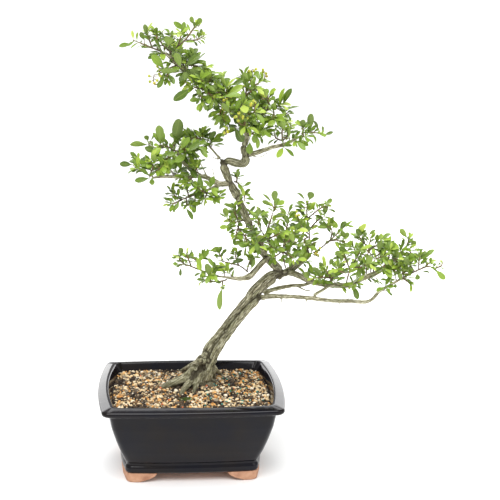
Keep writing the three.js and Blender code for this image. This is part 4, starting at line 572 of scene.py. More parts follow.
BUNCHES = {
    "berries_apex": [154, 76, -34, 6, 9],
    "berries_crown_top": [252, 70, -5, 4, 5.5],
    "berries_crown_side": [265, 73, 3, 4, 5],
    "berries_neck": [228, 99, -36, 5, 6],
    "berries_crown_front": [255, 104, -58, 4, 6],
    "berries_crown_low": [239, 116, -60, 5, 7],
    "berries_left": [226, 130, -40, 4, 5.5],
    "berries_right": [317, 251, 8, 5, 6.5],
    "berries_central": [298, 213, -22, 3, 4.5],
}


# Twigs without leaves: the limb each leaves, its radius at its foot, then its picture points with depth
BARE_TWIGS = [
    ["left_arm", 1.1, [208, 178, -12], [201, 164, -13], [196, 148, -16]],
    ["left_arm", 0.9, [216, 180, -10], [213, 170, -12], [212, 160, -14]],
    ["left_knot", 1.0, [222, 161, -4], [214, 158, -6], [205, 159, -8]],
    ["right_arm", 1.0, [250, 161, -6], [260, 157, -14], [271, 150, -18]],
    ["stub", 1.0, [300, 254, 20], [312, 244, 16], [326, 242, 12]],
    ["inner", 2.2, [304, 285, 32], [313, 282, 34], [321, 277, 36], [327, 270, 38]],
    ["inner", 1.5, [296, 285.5, 30], [305, 290, 24], [314, 291.5, 18]],
    ["lower_right", 1.2, [281, 297, -7], [281.5, 301, -8], [282, 304, -8]],
    ["lower_right", 1.0, [306, 298, -12], [306.5, 301, -13], [306, 304, -13]],
    ["lower_right", 1.0, [339, 301, -18], [339.5, 304, -18], [340, 307, -18]],
    ["lower_right", 0.9, [344, 300, -20], [351, 297, -24], [358, 295.5, -26]],
]

# Stubs of sawn branches: the limb each stands on, picture point, depth, radius
KNOTS = [
    ["trunk", 204, 361, 2, 6], ["trunk", 229, 333, 1, 5],
    ["upper", 252, 228, -4, 4.5], ["upper", 240, 199, -8, 4.5],
]

# Roots that the grit half hides: radius at the trunk, where each leaves it, then points on the ground
SURFACE_ROOTS = [
    [5.0, [205, 355, 5], [190, 371], [177, 382], [165, 389]],
    [3.6, [201, 360, 5], [187, 377], [177, 391]],
    [3.0, [197, 362, 12], [182, 371], [168, 377]],
    [4.0, [209, 361, 2], [206, 377], [198, 385], [189, 394]],
    [2.8, [213, 365, 1], [214, 382], [211, 394]],
    [2.6, [203, 368, 4], [196, 383], [181, 396]],
    [2.4, [213, 366, 2], [221, 376], [233, 382]],
]

# Single berries and pairs between the bunches: picture point, depth, count and spread
LOOSE_BERRIES = [
    [246, 86, -12, 2, 3.5], [224, 110, -36, 2, 3.5], [245, 117, -56, 2, 3.5], [213, 95, -38, 2, 3.5],
    [233, 122, -42, 1, 2.5], [262, 96, -20, 2, 3.5], [159, 68, -30, 2, 3.5],
]


def draws_from(seed):
    """The same sequence of draws from 0 to 1 as the part's source makes from a seed."""
    state = seed & 0xFFFFFFFF

    def draw():
        nonlocal state
        state = (state + 0x6D2B79F5) & 0xFFFFFFFF
        mixed = ((state ^ (state >> 15)) * (state | 1)) & 0xFFFFFFFF
        mixed ^= (mixed + ((mixed ^ (mixed >> 7)) * (mixed | 61))) & 0xFFFFFFFF
        return ((mixed ^ (mixed >> 14)) & 0xFFFFFFFF) / 4294967296

    return draw


def unit(vector):
    return vector / np.linalg.norm(vector)


def noise_at(x, y, z):
    """Smooth noise, about -1 to 1."""
    return noise.noise(Vector((x, y, z)))


def ground_height(x, y):
    """Height of the grit's surface without its grains."""
    wide, deep = GRIT_MOUND_REACH
    far = ((x - TRUNK_FOOT[0]) / wide) ** 2 + ((y - TRUNK_FOOT[1]) / deep) ** 2
    return GRIT_EDGE + GRIT_MOUND * np.exp(-far)


def ground_spot(across, down):
    """Where the viewer's ray through a picture point meets the grit."""
    ray = ray_through(across, down)
    return VIEWER + ray * ((GRIT_EDGE + 1 - VIEWER[2]) / ray[2])


# The wood's stations: places in mm and radii
wood_stations = {name: [(spot(row), row[3]) for row in rows] for name, rows in LIMBS.items()}

# Along a root: share of its reach, height over the ground, share of its radius
ROOT_STEPS = [[0.1, 20, 1.1], [0.32, 8, 1.1], [0.62, 2.2, 0.9], [0.88, -1.5, 0.7], [1.08, -9, 0.45]]
ROOT_BENDS = (-0.18, 0.22)
COMMON_ROOT = 4
SURFACE_SHARE = 0.5
# Down the tap root: how far right of the trunk's foot, height, radius
TAP_ROOT = [[3, 116, 13], [0, 98, 14], [-2, 74, 7]]

for number, (degrees, reach, radius) in enumerate(ROOTS):
    turn = math.radians(degrees)
    bend = turn + ROOT_BENDS[number % 2]
    stations = []
    for share, lift, thickness in ROOT_STEPS:
        angle = turn + (bend - turn) * share
        x = TRUNK_FOOT[0] + math.cos(angle) * reach * share
        y = TRUNK_FOOT[1] + math.sin(angle) * reach * share
        z = ground_height(x, y) + lift * (1 if share < SURFACE_SHARE else radius / COMMON_ROOT)
        stations.append((np.array([x, y, z]), radius * thickness))
    wood_stations[f"root_{number}"] = stations
wood_stations["tap_root"] = [
    (np.array([TRUNK_FOOT[0] + right, TRUNK_FOOT[1], height], dtype=float), radius)
    for right, height, radius in TAP_ROOT
]


class Segments:
    """Round tapering limbs, each with its owner, that stems and leaves are kept clear of."""

    def __init__(self):
        self.rows = []
        self.owners = []
        self.table = None

    def add(self, stations, owner):
        """A row holds a limb's start, direction, length, first radius and change of radius."""
        for (start, radius), (end, next_radius) in zip(stations, stations[1:]):
            length = np.linalg.norm(end - start)
            self.rows.append([*start, *((end - start) / length), length, radius, next_radius - radius])
            self.owners.append(owner)
        self.table = None

    def arrays(self):
        if self.table is None:
            self.table = (np.array(self.rows), np.array(self.owners))
        return self.table

    def gaps(self, place):
        """Distance from a place to the surface of each limb."""
        rows = self.arrays()[0]
        reach = place - rows[:, 0:3]
        share = np.clip((reach * rows[:, 3:6]).sum(axis=1) / rows[:, 6], 0, 1)
        off = reach - rows[:, 3:6] * (share * rows[:, 6])[:, None]
        return np.linalg.norm(off, axis=1) - (rows[:, 7] + rows[:, 8] * share)

    def nearest_other(self, place, owner):
        """Distance to the nearest limb that isn't the owner's."""
        return self.gaps(place)[self.arrays()[1] != owner].min()

    def nearest_wood(self, place):
        return self.gaps(place)[self.arrays()[1] == "wood"].min()


class Balls:
    """Balls that stand for the leaves and berries placed so far, each with its owner."""

    def __init__(self):
        self.rows = []
        self.table = None

    def add(self, places_and_radii, owner):
        self.rows.extend((place, radius, owner) for place, radius in places_and_radii)
        self.table = None

    def arrays(self):
        if self.table is None:
            self.table = [np.array(column) for column in zip(*self.rows)]
        return self.table


segments = Segments()
balls = Balls()
for name, stations in wood_stations.items():
    if not name.startswith("root_"):
        segments.add(stations, "wood")


def nearest_on(stations, place):
    """(gap, place, radius) of the nearest point on a chain of stations."""
    best = None
    for (start, radius), (end, next_radius) in zip(stations, stations[1:]):
        along = end - start
        share = min(max(float((place - start) @ along / (along @ along)), 0), 1)
        here = start + along * share
        gap = float(np.linalg.norm(here - place))
        if best is None or gap < best[0]:
            best = (gap, here, radius + (next_radius - radius) * share)
    return best


def nearest_of(chains, place):
    """The nearest point on any of several chains."""
    return min((nearest_on(chain, place) for chain in chains), key=lambda found: found[0])


# Ways a stem is bent aside, in mm back and up, until it clears what already stands
SHIFTS = [
    [0, 0], [7, 0], [-7, 0], [0, 6], [0, -6], [12, 5], [-12, 5], [12, -6], [-12, -6], [18, 0], [-18, 0],
]
TEST_STEP = 2
SKIPPED_AT_LIMB = 2
FOOT_GAP = 0.85
WALK_STEP = 0.25
LONGEST_WALK = 30
STEM_FOOT = 0.5
FORK_SHARE = 0.8
TIP_SHARE = 0.6


def stem_clear(stations, owner, skip):
    """True if a stem keeps clear of what others own, but for the first tested places that it skips."""
    for index, ((start, _), (end, radius)) in enumerate(zip(stations, stations[1:])):
        steps = max(2, math.ceil(np.linalg.norm(end - start) / TEST_STEP))
        for step in range(skip if index == 0 else 0, steps + 1):
            place = start + (end - start) * (step / steps)
            if segments.nearest_other(place, owner) < radius + STEM_GAP:
                return False
    return True


def fork_on(stem, place):
    """Where a stem forks from another: the first place from the one given that is clear of the wood."""
    started = False
    fork = place
    for (start, _), (end, _) in zip(stem, stem[1:]):
        steps = max(2, math.ceil(np.linalg.norm(end - start)))
        for step in range(steps + 1):
            here = start + (end - start) * (step / steps)
            started = started or np.linalg.norm(here - place) < 1
            if started:
                fork = here
                if segments.nearest_wood(here) > FORK_GAP:
                    return here
    return fork


def first_station(foot, ahead, on_limb):
    """A stem's foot: on the stem it forks from, or moved out until it stands clear of its limb."""
    if not on_limb:
        return (foot, TWIG_RADIUS * FORK_SHARE)
    away = unit(ahead - foot)
    walked = 0
    while walked < LONGEST_WALK and segments.nearest_wood(foot) < FOOT_GAP:
        foot = foot + away * WALK_STEP
        walked += WALK_STEP
    return (foot, STEM_FOOT)


def place_stem(points, owner, limb, stems):
    """A stem's stations, from just clear of its limb or from the stem it forks from."""
    wanted = [spot(point) for point in points]
    on_limb = len(stems) == 0
    if on_limb:
        foot = nearest_on(wood_stations[limb], wanted[0])[1]
    else:
        found = [(*nearest_on(stem, wanted[0]), stem) for stem in stems if stem]
        nearest = min(found, key=lambda entry: entry[0])
        foot = fork_on(nearest[3], nearest[1])
    fallback = None
    for depth, lift in SHIFTS:
        rest = [place + np.array([0, depth, lift]) for place in wanted[1:]]
        stations = [first_station(foot, rest[0], on_limb)]
        stations += [(place, TWIG_RADIUS) for place in rest[:-1]]
        stations.append((rest[-1], TWIG_RADIUS * TIP_SHARE))
        fallback = fallback or stations
        if stem_clear(stations, owner, SKIPPED_AT_LIMB if on_limb else 0):
            return stations
    return fallback if on_limb else None


# Balls along a leaf that stand for it when neighbours are kept apart: share of its length and width
LEAF_BALLS = [[0.2, 0.3], [0.42, 0.72], [0.66, 0.95], [0.88, 0.75]]
# Gaps to leaves of the same spray, as a share of the smaller ball, to other leaves and to limbs, in mm
LARGE_GAPS = (-0.2, 0.5, 0.5)
SMALL_GAPS = (-0.85, -2.2, 0.1)
DEPTH_TRIES = [0, -4, 4, -8, 8, -12, 12, -17, 17, -22, 22]
TIP_FORWARD = 2
NARROWEST = 0.8
STALK_RADII = (0.6, 0.45)
STALK_REACH = 0.2
LEAF_TRIES = 14
SMALLER_AFTER = 8
SMALLER_SHARE = 0.8
LEAF_RISE = 0.12
LIGHT_SCATTER = 0.9
LIGHT_FROM_FRONT = 0.55
FIRST_LEAF = 0.4
TIP_LEAF_BACK = 0.02
SMALL_SLIM = 0.84
SMALL_LEAVES = 2.9
STEM_SIDE = np.array([0.2, 0.3, 1])
BOX_MARGIN = 4
BERRY_TRIES = 8
BERRY_GAP = 0.5
# A small leaf's share of the stem's leaf size at least, how much more by a draw, and less at the tip
SMALL_SIZES = (0.66, 0.55, 0.3)
SMALL_TURN = 1.37


def balls_of(leaf):
    return [
        (
            leaf["foot"] + leaf["along"] * (leaf["length"] * share)
            - leaf["facing"] * (leaf["length"] * LEAF_DROOP * share * share),
            leaf["width"] * spread / 2,
        )
        for share, spread in LEAF_BALLS
    ]


def leaf_clear(leaf, owner, gaps=LARGE_GAPS):
    """True if a leaf keeps its gaps to what is already placed."""
    own_gap, other_gap, limb_gap = gaps
    places, radii, owners = balls.arrays()
    for place, radius in balls_of(leaf):
        if segments.nearest_other(place, owner) < radius + limb_gap:
            return False
        apart = np.linalg.norm(places - place, axis=1) - radius - radii
        least = np.where(owners == owner, own_gap * np.minimum(radius, radii), other_gap)
        if (apart < least).any():
            return False
    return True


def inside_box(leaf):
    """True if a leaf's tip and its widest part stay within the part's box."""
    margin = (leaf["width"] / 2 - BOX_MARGIN) * MM
    for share in (0.65, 1):
        place = in_metres(leaf["foot"] + leaf["along"] * leaf["length"] * share)
        for low, here, high in zip(cad_low, place, cad_high):
            if not low + margin < here < high - margin:
                return False
    return True


def take_leaf(leaves, leaf, age, owner):
    """Adds a leaf to a list and keeps the room that it fills."""
    leaf["age"] = age
    leaves.append(leaf)
    balls.add(balls_of(leaf), owner)


def standout_leaf(row, owner, stems):
    """A leaf seen in the picture from its foot to its tip, turned to show the width given."""
    foot_across, foot_down, tip_across, tip_down, depth, shown = row
    for shift in DEPTH_TRIES:
        foot = spot([foot_across, foot_down, depth + shift])
        tip = spot([tip_across, tip_down, depth + shift - TIP_FORWARD])
        length = float(np.linalg.norm(tip - foot))
        along = (tip - foot) / length
        width = max(shown, length * LEAF_ASPECT * NARROWEST)
        level = unit(np.cross(along, forward))
        towards = unit(np.cross(level, along))
        turn = math.acos(min(shown / width, 1))
        facing = towards * -math.cos(turn) + level * math.sin(turn)
        if facing[2] < 0:
            facing = -facing
        leaf = {"foot": foot, "along": along, "facing": facing, "length": length, "width": width}
        gap, root, _ = nearest_of(stems, foot)
        stalk = [(root, STALK_RADII[0]), (foot + along * length * STALK_REACH, STALK_RADII[1])]
        if leaf_clear(leaf, owner) and stem_clear(stalk, owner, 0):
            leaf["root"] = root if gap > TWIG_RADIUS else None
            leaf["stalk"] = stalk
            return leaf
    return None


def grown_leaf(stem, share, number, size, draw, owner, small=False):
    """A leaf that grows from a stem by a draw: spiralled round it, raised, its face to the light."""
    spots = len(stem) - 1
    scaled = min(share * spots, spots - 1e-6)
    index = int(scaled)
    start, end = stem[index][0], stem[index + 1][0]
    foot = start + (end - start) * (scaled - index)
    ahead = unit(end - start)
    side = unit(np.cross(STEM_SIDE, ahead))
    over = np.cross(ahead, side)
    for attempt in range(LEAF_TRIES):
        turn = number * LEAF_SPIRAL + (draw() - 0.5) * (1 + attempt * 0.5)
        spread = 0.75 + draw() * 0.55
        smaller = SMALLER_SHARE if attempt > SMALLER_AFTER else 1
        length = size * GROWN_LEAF * (0.78 + draw() * 0.42) * smaller
        along = (
            ahead * math.cos(spread)
            + side * (math.cos(turn) * math.sin(spread))
            + over * (math.sin(turn) * math.sin(spread))
        )
        along[2] += LEAF_RISE
        along = unit(along)
        light = np.array(
            [(draw() - 0.5) * LIGHT_SCATTER, (draw() - 0.5) * LIGHT_SCATTER - LIGHT_FROM_FRONT, 1]
        )
        facing = unit(light - along * (light @ along))
        width = length * LEAF_ASPECT * (0.9 + draw() * 0.25) * (SMALL_SLIM if small else 1)
        leaf = {"foot": foot, "along": along, "facing": facing, "length": length, "width": width}
        leaf["root"] = None
        if leaf_clear(leaf, owner, SMALL_GAPS if small else LARGE_GAPS):
            return leaf if not small or inside_box(leaf) else None
    return None


def bunch_of(row, seed):
    """A bunch's foot, tip and berries, the lowest berry first."""
    across, down, depth, count, spread = row
    draw = draws_from(seed)
    middle = spot([across, down, depth])
    foot = middle + np.array([0, spread * 0.6, -spread * 1.2])
    tip = middle + np.array([0, -spread * 0.1, spread * 0.2])
    berries = []
    tries = 0
    while tries < count * BERRY_TRIES and len(berries) < count:
        tries += 1
        turn = draw() * math.pi * 2
        rise = draw() * 2 - 1
        flat = math.sqrt(1 - rise * rise)
        way = np.array([math.cos(turn) * flat, math.sin(turn) * flat, rise])
        place = middle + way * (spread * (0.75 + draw() * 0.3))
        free = segments.gaps(place).min() > BERRY_RADIUS + BERRY_GAP
        apart = all(np.linalg.norm(other - place) > BERRY_RADIUS * 2.15 for other in berries)
        out = nearest_on([(foot, 1), (tip, 1)], place)[0]
        if free and apart and out > BERRY_RADIUS * 1.6:
            berries.append(place)
    berries.sort(key=lambda place: place[2])
    return foot, tip, berries


def large_leaves(row, index, draw):
    """Share of the stem, turn and size of each large leaf that grows on a stem."""
    count = int(row[0] * LEAF_SHARE + 0.5)
    for number in range(count):
        share = FIRST_LEAF + ((1 - FIRST_LEAF) * (number + 1)) / count - TIP_LEAF_BACK
        yield share, number, row[1]


def small_leaves(row, index, draw):
    """The same for the smaller leaves that the solids leave out, denser towards the stem's end."""
    least, more, less = SMALL_SIZES
    count = round((row[0] + 1) * SMALL_LEAVES)
    first = 0.3 if index == 0 else 0.12
    for number in range(count):
        share = min(first + (1 - first) * ((number + 1) / count) ** 0.7, 0.99)
        size = row[1] * (least + more * draw()) * (1.12 - less * share)
        yield share, number * SMALL_TURN + index, size


def grow_leaves(first_seed, leaves_on, small):
    """Leaves by draws on each stem of each spray."""
    for order, (name, (_, stems, _)) in enumerate(SPRAYS.items()):
        draw = draws_from(first_seed + order)
        for index, row in enumerate(stems):
            stem = stems_of[name][index]
            if stem is None:
                continue
            for share, turn, size in leaves_on(row, index, draw):
                leaf = grown_leaf(stem, share, turn, size, draw, name, small)
                if leaf:
                    take_leaf(leaves_of[name], leaf, share, name)


# The order of placing is that of the part's source: stems, bunches, stand-out leaves, grown leaves
stems_of = {}
for name, (limb, stems, _) in SPRAYS.items():
    stems_of[name] = []
    for row in stems:
        stations = place_stem(row[2:], name, limb, stems_of[name])
        stems_of[name].append(stations)
        if stations:
            segments.add(stations, name)

bunches = {}
for index, (name, row) in enumerate(BUNCHES.items()):
    bunches[name] = bunch_of(row, 300 + index)
    foot, tip, berries = bunches[name]
    segments.add([(foot, 1), (tip, 1)], name)
    balls.add([(place, BERRY_RADIUS) for place in berries], name)

leaves_of = {name: [] for name in SPRAYS}
for name, (_, _, standouts) in SPRAYS.items():
    stems = [stem for stem in stems_of[name] if stem]
    for row in standouts:
        leaf = standout_leaf(row, name, stems)
        if leaf:
            take_leaf(leaves_of[name], leaf, 0.5, name)
            if leaf["root"] is not None:
                segments.add(leaf["stalk"], name)
grow_leaves(100, large_leaves, False)
grow_leaves(700, small_leaves, True)

# Short spurs with a rosette of leaves, straight from a limb: how many, from and to which share of it
SPURS = {
    "apex": [32, 0.12, 1.0], "crown": [10, 0.25, 1.0], "left_rise": [6, 0.3, 1.0], "left_arm": [7, 0.5, 1.0],
    "right_arm": [5, 0.45, 1.0], "left_low": [6, 0.5, 1.0], "middle_right": [20, 0.25, 1.0],
    "upper": [5, 0.2, 0.6], "stub": [9, 0.3, 1.0], "left_under": [4, 0.4, 1.0], "left_knot": [5, 0.6, 1.0],
    "lower_right": [6, 0.7, 1.0],
}
SPUR_LEAVES = 5
SPUR_RADII = (0.9, 0.6)
TOWARDS_LIGHT = np.array([0, -0.25, 0.95])


def grown_spur(limb, share, draw, owner):
    """A spur's stem and its leaves."""
    stations = wood_stations[limb]
    spots = len(stations) - 1
    index = min(int(share * spots), spots - 1)
    (start, radius), (end, _) = stations[index], stations[index + 1]
    ahead = unit(end - start)
    foot = start + (end - start) * (share * spots - index)
    side = unit(np.cross(STEM_SIDE, ahead))
    over = np.cross(ahead, side)
    turn = draw() * math.tau
    way = side * math.cos(turn) + over * math.sin(turn) + TOWARDS_LIGHT + ahead * 0.3
    way = unit(way - ahead * (way @ ahead) * 0.5)
    tip = foot + way * (radius + 3.5 + 6 * draw())
    stem = [(foot, SPUR_RADII[0]), (tip, SPUR_RADII[1])]
    leaves = []
    for number in range(SPUR_LEAVES):
        size = 8.5 + 8.5 * draw()
        leaf = grown_leaf(stem, 0.8 + 0.04 * number, number * 0.55, size, draw, owner, True)
        if leaf:
            take_leaf(leaves, leaf, 0.25 + 0.7 * draw(), owner)
    return stem, leaves


spurs = {}
for order, (limb, (count, first, last)) in enumerate(SPURS.items()):
    draw = draws_from(1500 + order)
    spurs[limb] = []
    for number in range(count):
        share = first + (last - first) * (number + draw()) / count
        spurs[limb].append(grown_spur(limb, min(share, 0.999), draw, f"spur_{limb}"))


# Meshes


def placed(name, data):
    """A new object of the scene that shows a mesh, a lamp or a camera."""
    thing = bpy.data.objects.new(name, data)
    bpy.context.scene.collection.objects.link(thing)
    return thing


def mesh_of(name, places, faces):
    mesh = bpy.data.meshes.new(name)
    mesh.from_pydata(np.asarray(places, dtype=float).tolist(), [], faces)
    mesh.update()
    return mesh


def wall_faces(rings, sides):
    """Faces between closed rings of points that follow each other."""
    faces = []
    for level in range(rings - 1):
        low, high = level * sides, (level + 1) * sides
        for side in range(sides):
            after = (side + 1) % sides
            faces.append((low + side, low + after, high + after, high + side))
    return faces


def end_faces(rings, sides):
    """Faces that close the first and last ring at two more points, which follow the rings."""
    faces = []
    last = (rings - 1) * sides
    for side in range(sides):
        after = (side + 1) % sides
        faces.append((rings * sides, after, side))
        faces.append((rings * sides + 1, last + side, last + after))
    return faces


class Shape:
    """Points in mm, faces, and for each point its UV and tone, gathered into one mesh."""

    def __init__(self):
        self.places = []
        self.faces = []
        self.slots = []
        self.uvs = []
        self.tones = []
        self.rims = []
        self.count = 0

    def add(self, places, faces, slot=0, uvs=None, tone=0.5, rims=None):
        places = np.asarray(places, dtype=float)
        amount = len(places)
        self.places.append(places)
        self.faces.extend([tuple(corner + self.count for corner in face) for face in faces])
        self.slots.extend(slot if isinstance(slot, list) else [slot] * len(faces))
        self.uvs.append(np.zeros((amount, 2)) if uvs is None else np.asarray(uvs, dtype=float))
        self.tones.append(np.full(amount, tone) if np.isscalar(tone) else np.asarray(tone, dtype=float))
        self.rims.append(np.zeros(amount, dtype=bool) if rims is None else np.asarray(rims, dtype=bool))
        self.count += amount

    def make(self, name, materials, smooth=True):
        mesh = mesh_of(name, in_metres(np.concatenate(self.places)), self.faces)
        for entry in materials:
            mesh.materials.append(entry)
        mesh.polygons.foreach_set("material_index", np.array(self.slots, dtype=np.int32))
        mesh.polygons.foreach_set("use_smooth", np.full(len(self.faces), smooth))
        loops = np.empty(len(mesh.loops), dtype=np.int32)
        mesh.loops.foreach_get("vertex_index", loops)
        layer = mesh.uv_layers.new(name="blade")
        layer.data.foreach_set("uv", np.concatenate(self.uvs)[loops].astype(np.float32).ravel())
        give_attribute(mesh, "tone", "FLOAT", "value", np.concatenate(self.tones))
        rims = np.concatenate(self.rims)
        if rims.any():
            ends = np.empty(len(mesh.edges) * 2, dtype=np.int32)
            mesh.edges.foreach_get("vertices", ends)
            ends = ends.reshape(-1, 2)
            sharp = mesh.attributes.new("sharp_edge", "BOOLEAN", "EDGE")
            sharp.data.foreach_set("value", rims[ends[:, 0]] & rims[ends[:, 1]])
        return placed(name, mesh)


def give_attribute(mesh, name, kind, field, values):
    """A number, vector or colour at each point of a mesh, for its material to read."""
    made = mesh.attributes.new(name, kind, "POINT")
    made.data.foreach_set(field, values.astype(np.float32).ravel())


def dress(thing, slot, *nodes):
    """The piece rides on the root and stands for the nodes named, which it hides. Its slot is not used."""
    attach(thing, "root")
    if nodes:
        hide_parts(*nodes)
    return thing


def smooth_chain(stations, spacing):
    """Stations on a smooth curve through the ones given, about spacing mm apart."""
    places = np.array([place for place, _ in stations])
    radii = np.array([radius for _, radius in stations], dtype=float)
    before = np.vstack([places[0] * 2 - places[1], places[:-1]])
    after = np.vstack([places[1:], places[-1] * 2 - places[-2]])
    out_places = []
    out_radii = []
    for index in range(len(places) - 1):
        length = np.linalg.norm(places[index + 1] - places[index])
        steps = max(1, round(length / spacing))
        leave = (after[index] - before[index]) / 2
        arrive = (after[index + 1] - before[index + 1]) / 2
        for tangent in (leave, arrive):
            size = np.linalg.norm(tangent)
            if size > length:
                tangent *= length / size
        for step in range(steps):
            t = step / steps
            out_places.append(
                places[index] * (2 * t**3 - 3 * t**2 + 1)
                + leave * (t**3 - 2 * t**2 + t)
                + places[index + 1] * (3 * t**2 - 2 * t**3)
                + arrive * (t**3 - t**2)
            )
            blend = t * t * (3 - 2 * t)
            out_radii.append(radii[index] * (1 - blend) + radii[index + 1] * blend)
    out_places.append(places[-1])
    out_radii.append(radii[-1])
    return np.array(out_places), np.array(out_radii)


def frames_along(places):
    """Directions along, across and over a chain of places, turning as little as may be."""
    along = np.gradient(places, axis=0)
    along /= np.linalg.norm(along, axis=1)[:, None]
    across = unit(np.cross(np.array([0.31, -0.2, 0.93]), along[0]))
    rows = []
    for direction in along:
        across = unit(across - direction * (across @ direction))
        rows.append((direction, across, np.cross(direction, across)))
    return rows


UV_PER_MM = 0.05


def add_tube(shape, places, radii, sides, slot=0, tone=0.5):
    """A closed round tube along a chain of places."""
    rings = []
    uvs = []
    turns = np.arange(sides) / sides * math.tau
    travelled = np.concatenate([[0], np.cumsum(np.linalg.norm(np.diff(places, axis=0), axis=1))])
    for place, radius, (_, across, over), length in zip(places, radii, frames_along(places), travelled):
        rings.append(place + radius * (np.outer(np.cos(turns), across) + np.outer(np.sin(turns), over)))
        uvs.extend([[length * UV_PER_MM, turn / math.tau] for turn in turns])
    points = np.vstack([*rings, places[:1], places[-1:]])
    if not np.isscalar(tone):
        tone = np.concatenate([np.repeat(tone, sides), [tone[0], tone[-1]]])
    faces = wall_faces(len(places), sides) + end_faces(len(places), sides)
    shape.add(points, faces, slot, [*uvs, [0, 0], [travelled[-1] * UV_PER_MM, 0]], tone)


# One leaf's grid: rows along it and columns across it, with the underside inside the same rim
BLADE_COLUMNS = 5
BLADE_STALK = 0.1
BLADE_WIDEST = 0.64
BLADE_SHARES = [0, 0.06, BLADE_STALK, 0.17, 0.27, 0.39, 0.52, 0.66, 0.79, 0.9, 0.965, 1]
BLADE_THICK = 0.36
STALK_SPREAD = 0.075
STALK_END = 0.03
NARROWEST_HALF = 0.42
NOTCH = 0.035
NOTCH_WAVES = 38
EDGE_WAVES = 9
LEAST_FOLD = 0.16
MORE_FOLD = 0.3
LEAST_CURL = 0.7
MORE_CURL = 1.1
SWAY = 0.16
# Tone of a young leaf, how much it gains along the stem, and its scatter
YOUNG_TONE = 0.26
TONE_GAIN = 0.42
TONE_SCATTER = 0.75
STEM_SLOT = 2


def blade_spread(share):
    """Half width of a blade, as a share of its greatest: narrow at its stalk, widest past the middle."""
    if share < BLADE_STALK:
        return STALK_SPREAD
    if share < BLADE_WIDEST:
        rise = (share - BLADE_STALK) / (BLADE_WIDEST - BLADE_STALK)
        return STALK_SPREAD + (1 - STALK_SPREAD) * math.sin(rise * math.pi / 2) ** 1.3
    fall = (share - BLADE_WIDEST) / (1 - BLADE_WIDEST)
    return max(0.02, (1 - fall**2.3) ** 0.62)


def blade_grid():
    """Shares along and across for each point, the side it is on, its faces and its rim."""
    rows = len(BLADE_SHARES)
    points = []
    index = {}
    rims = []
    for layer in (1, -1):
        for row, share in enumerate(BLADE_SHARES):
            for column, offset in enumerate(np.linspace(-1, 1, BLADE_COLUMNS)):
                rim = row in (0, rows - 1) or column in (0, BLADE_COLUMNS - 1)
                if layer == -1 and rim:
                    index[layer, row, column] = index[1, row, column]
                    continue
                index[layer, row, column] = len(points)
                points.append((share, offset, 0 if rim else layer))
                rims.append(rim)
    faces = []
    for row in range(rows - 1):
        for column in range(BLADE_COLUMNS - 1):
            corners = [(row, column), (row, column + 1), (row + 1, column + 1), (row + 1, column)]
            faces.append(tuple(index[(1, *corner)] for corner in corners))
            faces.append(tuple(index[(-1, *corner)] for corner in reversed(corners)))
    return np.array(points), faces, [0, 1] * (len(faces) // 2), rims


BLADE_POINTS, BLADE_FACES, BLADE_SLOTS, BLADE_RIMS = blade_grid()
BLADE_SPREADS = np.array([blade_spread(share) for share in BLADE_POINTS[:, 0]])


def add_blade(shape, leaf, draw):
    """A leaf with its stalk, folded a little along its midrib and waved at its edge."""
    share, offset, layer = BLADE_POINTS.T
    length, width = leaf["length"], leaf["width"]
    along, facing = leaf["along"], leaf["facing"]
    side = unit(np.cross(along, facing))
    fold = LEAST_FOLD + draw() * MORE_FOLD
    curl = LEAF_DROOP * (LEAST_CURL + draw() * MORE_CURL)
    sway = (draw() - 0.5) * SWAY
    wave = draw() * math.tau
    notches = 1 + NOTCH * np.sin(share * NOTCH_WAVES + wave) * (np.abs(offset) > 0.9) * (share > 0.3)
    half = np.maximum(width / 2 * BLADE_SPREADS * notches, NARROWEST_HALF)
    lift = np.abs(offset) * half * fold - length * curl * share**2
    lift = lift + np.sin(share * EDGE_WAVES + wave) * offset**2 * width * NOTCH * (share > BLADE_STALK)
    lift = lift + layer * BLADE_THICK / 2
    sideways = offset * half * math.sqrt(1 - fold * fold) + sway * length * share * (share - 0.15)
    places = (
        leaf["foot"]
        + np.outer(share * length, along)
        + np.outer(sideways, side)
        + np.outer(lift, facing)
    )
    tone = YOUNG_TONE + TONE_GAIN * leaf["age"] ** 2 + (draw() - 0.5) * TONE_SCATTER
    tone = min(max(tone, 0), 1)
    shape.add(places, BLADE_FACES, list(BLADE_SLOTS), np.column_stack([share, offset]), tone, BLADE_RIMS)
    if leaf["root"] is not None:
        start, end = leaf["root"], leaf["foot"] + along * length * STALK_END
        sag = np.array([0, 0, -np.linalg.norm(end - start) * 0.06])
        chain = [(start, 0.55), ((start + end) / 2 + sag, 0.5), (end, 0.42)]
        add_tube(shape, *smooth_chain(chain, spacing=3), sides=6, slot=STEM_SLOT, tone=0.75)


# Materials


def principled(name):
    entry = bpy.data.materials.new(name)
    entry.use_nodes = True
    return entry, entry.node_tree, entry.node_tree.nodes["Principled BSDF"]


def feed(tree, socket, value):
    """Gives a socket a number, a colour or another socket's value."""
    if isinstance(value, tuple):
        socket.default_value = (*value, 1)
    elif isinstance(value, (int, float)):
        socket.default_value = value
    elif value is not None:
        tree.links.new(value, socket)


def node(tree, kind, **values):
    made = tree.nodes.new(kind)
    for key, value in values.items():
        setattr(made, key, value)
    return made


def ramp(tree, source, stops):
    """A colour ramp fed by a socket: stops are (place, red, green, blue), linear."""
    made = node(tree, "ShaderNodeValToRGB")
    elements = made.color_ramp.elements
    while len(elements) < len(stops):
        elements.new(0.5)
    for element, (place, *colour) in zip(elements, stops):
        element.position = place
        element.color = (*colour, 1)
    feed(tree, made.inputs["Fac"], source)
    return made.outputs["Color"]


def noise_of(tree, scale, detail, vector=None, rough=0.55):
    made = node(tree, "ShaderNodeTexNoise")
    if vector is None:
        vector = node(tree, "ShaderNodeTexCoord").outputs["Object"]
    for key, value in (("Scale", scale), ("Detail", detail), ("Roughness", rough), ("Vector", vector)):
        feed(tree, made.inputs[key], value)
    return made.outputs["Fac"]


